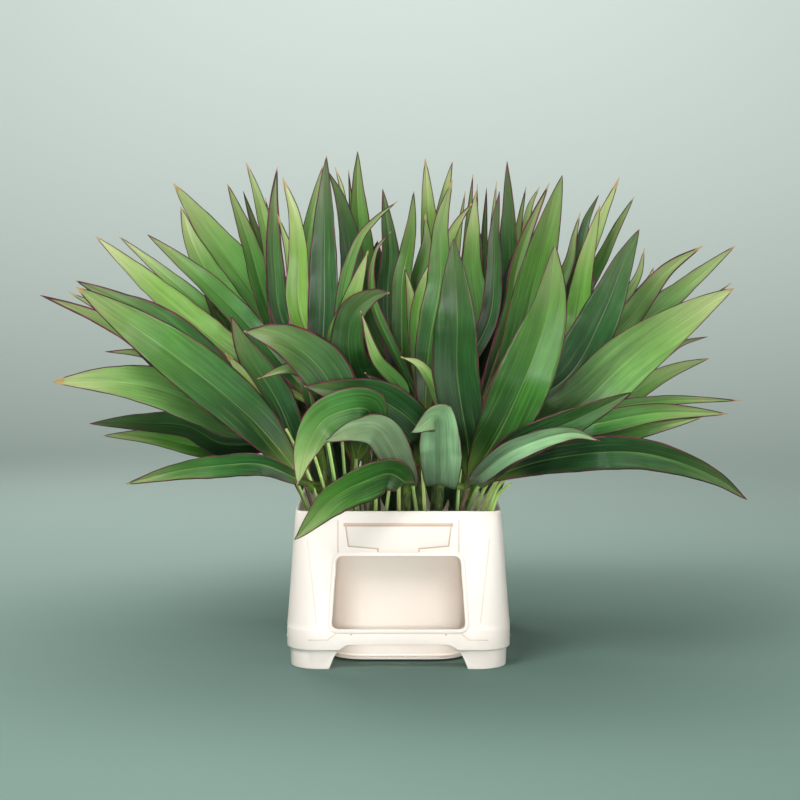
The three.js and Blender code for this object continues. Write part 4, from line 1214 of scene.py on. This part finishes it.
def makeContainer():
    levels = container["inside"] + container["outside"] + container["skirt"] + container["bucket"]
    body = planLoft("containerBody", levels, container["corner"])
    addPlastic(body)
    cutOpenings(body)
    markPlastic(body)
    pieces = [body]
    plate = np.array(container["plate"], dtype=float)
    for side in range(4):
        # Beads, plates and raised lines carry painted shade in the line colour along their edges.
        pieces.append(relief("bead", windowOutline(side), container["bead"], side, container["beadShade"]))
        pieces.append(relief("plate", plate, container["plateEdge"], side, container["plateShade"], cap=True))
        left, right, wide, proud, tone = container["plateTop"]
        pieces.append(bar("plateTop", (left, right), wide, side, proud, tone))
        for hand in (-1, 1):
            for name, (start, end, outer, wide, proud, tone) in container["lines"].items():
                shift = wider(side) if outer else 0
                ends = [(hand * (u + shift), z) for u, z in (start, end)]
                pieces.append(bar(name, ends, wide, side, proud, tone))
    made = joined("container_moulded", pieces)
    bpy.ops.object.shade_smooth_by_angle(angle=math.radians(container["smoothTo"]))
    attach(made, "root")
    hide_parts("container")


plasticMaterial = makePlasticMaterial()
makeContainer()
print("container")

# The water's levels run from its underside up its side and over its rounded edge.
water = {
    "levels": ((7.4, 87.4, 41), (9.9, 90.1, 43.6), (96.4, 96.1, 45), (96.7, 96.1, 45), (96.2, 95.2, 44.2),
               (96, 93.5, 42.5), (95.95, 90, 39)),
    "corner": 8, "smoothTo": 40,
}


def makeWater():
    made = planLoft("water_still", water["levels"], water["corner"])
    made.data.materials.append(makeWaterMaterial())
    onlySelect(made)
    bpy.ops.object.shade_smooth_by_angle(angle=math.radians(water["smoothTo"]))
    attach(made, "root")
    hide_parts("water")


makeWater()
print("water")

# The floor runs up into a wall behind the object. Pairs are where a change starts and ends, in metres.
floor = {
    "middle": (0, -11, 0), "size": (60, 38, 1), "wall": 7, "bend": 5.5, "bendSteps": 40, "flat": 0.01,
    # Painted shade: the floor darkens from far to near, towards the front.
    "paintedShadeNear": srgb(123, 149, 139), "far": srgb(212, 223, 217), "span": (-0.9, 5.7),
    # Painted shadow: the under colour darkens the floor around the container's foot.
    "outer": srgb(232, 240, 236), "outerFrom": (2.2, 12), "under": srgb(90, 116, 107), "paintedShadowTo": (0.1, 0.95),
    "gloss": 0.2, "grain": (3.0, 2.0), "roughness": 0.8, "roughGrain": 0.1,
}
# Each lamp: its place, what it points at, its size, its power and how wide it shines, in degrees.
lamps = {
    "key": ((-1.15, -2.3, 2.55), (0, 0, 0.35), (1.5, 1.1), 80, 180),
    "fill": ((2.3, -1.9, 1.1), (0, 0, 0.35), (1.8, 1.8), 27, 180),
    "top": ((0.2, 0.9, 2.4), (0, 0, 0.4), (2.2, 1.6), 20, 180),
    "wall": ((0, 4.2, 4.6), (0, 8, 1.2), (5, 1.2), 142, 180),
    "side": ((-2.8, 0.4, 1.5), (0, 0, 0.35), (1.4, 1.4), 3, 90),
    "back": ((-1.4, 2.6, 1.5), (0, 0, 0.3), (1.6, 1.2), 9, 90),
    "low": ((0, -2.0, 0.3), (0, -0.2, 0.1), (0.6, 0.3), 0.62, 32),
}
sky = {"color": srgb(226, 236, 231), "strength": 0.2}
camera = {"eye": (2, -3200, 607), "sensor": 36, "lens": 101.9, "down": 4.64}


def makeFloorMaterial():
    material, wire, shader = newMaterial("studioFloor", {"Specular IOR Level": floor["gloss"]})
    spot = objectSpot(wire)
    grain = spot.noise(*floor["grain"])
    across, along = spot.parts()[:2]
    # Painted shade: darker towards the front.
    color = along.step(*floor["span"]).mixed(floor["paintedShadeNear"], floor["far"])
    outer = (across.size().step(*floor["outerFrom"]) + (0 - along).step(*floor["outerFrom"])).least(1.0)
    color = outer.mixed(color, floor["outer"])
    # Painted shadow: darker around the container's foot.
    away = (across * across + along * along) ** 0.5
    color = (1 - away.step(*floor["paintedShadowTo"])).mixed(color, floor["under"])
    feed(shader, {"Base Color": color, "Roughness": floor["roughness"] + grain * floor["roughGrain"]})
    return material


def makeFloor():
    bpy.ops.mesh.primitive_plane_add(size=1, location=floor["middle"])
    made = bpy.context.object
    made.scale = floor["size"]
    bpy.ops.object.transform_apply(location=True, rotation=False, scale=True)
    made.name = "floor"
    bpy.ops.object.mode_set(mode="EDIT")
    bpy.ops.mesh.select_all(action="DESELECT")
    bpy.ops.object.mode_set(mode="OBJECT")
    for edge in made.data.edges:
        edge.select = all(made.data.vertices[i].co.y > 0 for i in edge.vertices)
    bpy.ops.object.mode_set(mode="EDIT")
    bpy.ops.mesh.select_mode(type="EDGE")
    bpy.ops.mesh.extrude_region_move(TRANSFORM_OT_translate={"value": (0, 0, floor["wall"])})
    bpy.ops.object.mode_set(mode="OBJECT")
    weight = made.data.attributes.new("bevel_weight_edge", "FLOAT", "EDGE")
    for edge in made.data.edges:
        ends = [made.data.vertices[i].co for i in edge.vertices]
        if all(abs(end.z) < floor["flat"] and end.y > 0 for end in ends):
            weight.data[edge.index].value = 1
    applied(made, "BEVEL", width=floor["bend"], segments=floor["bendSteps"], limit_method="WEIGHT")
    bpy.ops.object.shade_smooth()
    made.data.materials.append(makeFloorMaterial())


def makeLamp(name, place, target, size, power, spread):
    lamp = bpy.data.lights.new(name, "AREA")
    lamp.shape = "RECTANGLE"
    lamp.size, lamp.size_y = size
    lamp.energy = power
    lamp.spread = math.radians(spread)
    made = bpy.data.objects.new(name, lamp)
    made.location = place
    made.rotation_euler = (Vector(target) - Vector(place)).to_track_quat("-Z", "Y").to_euler()
    bpy.context.collection.objects.link(made)


def makeSky():
    world = bpy.data.worlds.new("studio")
    world.use_nodes = True
    background = world.node_tree.nodes["Background"]
    background.inputs["Color"].default_value = sky["color"]
    background.inputs["Strength"].default_value = sky["strength"]
    bpy.context.scene.world = world


def makeCamera():
    lens = bpy.data.cameras.new("camera")
    lens.sensor_width = camera["sensor"]
    lens.lens = camera["lens"]
    made = bpy.data.objects.new("camera", lens)
    made.location = Vector(camera["eye"]) / 1000 + Vector((containerX, containerY, 0))
    made.rotation_euler = (math.radians(90 - camera["down"]), 0, 0)
    bpy.context.collection.objects.link(made)
    bpy.context.scene.camera = made


makeFloor()
for name, settings in lamps.items():
    makeLamp(name, *settings)
makeSky()
makeCamera()
bpy.context.scene.view_settings.view_transform = "Standard"
print("studio")
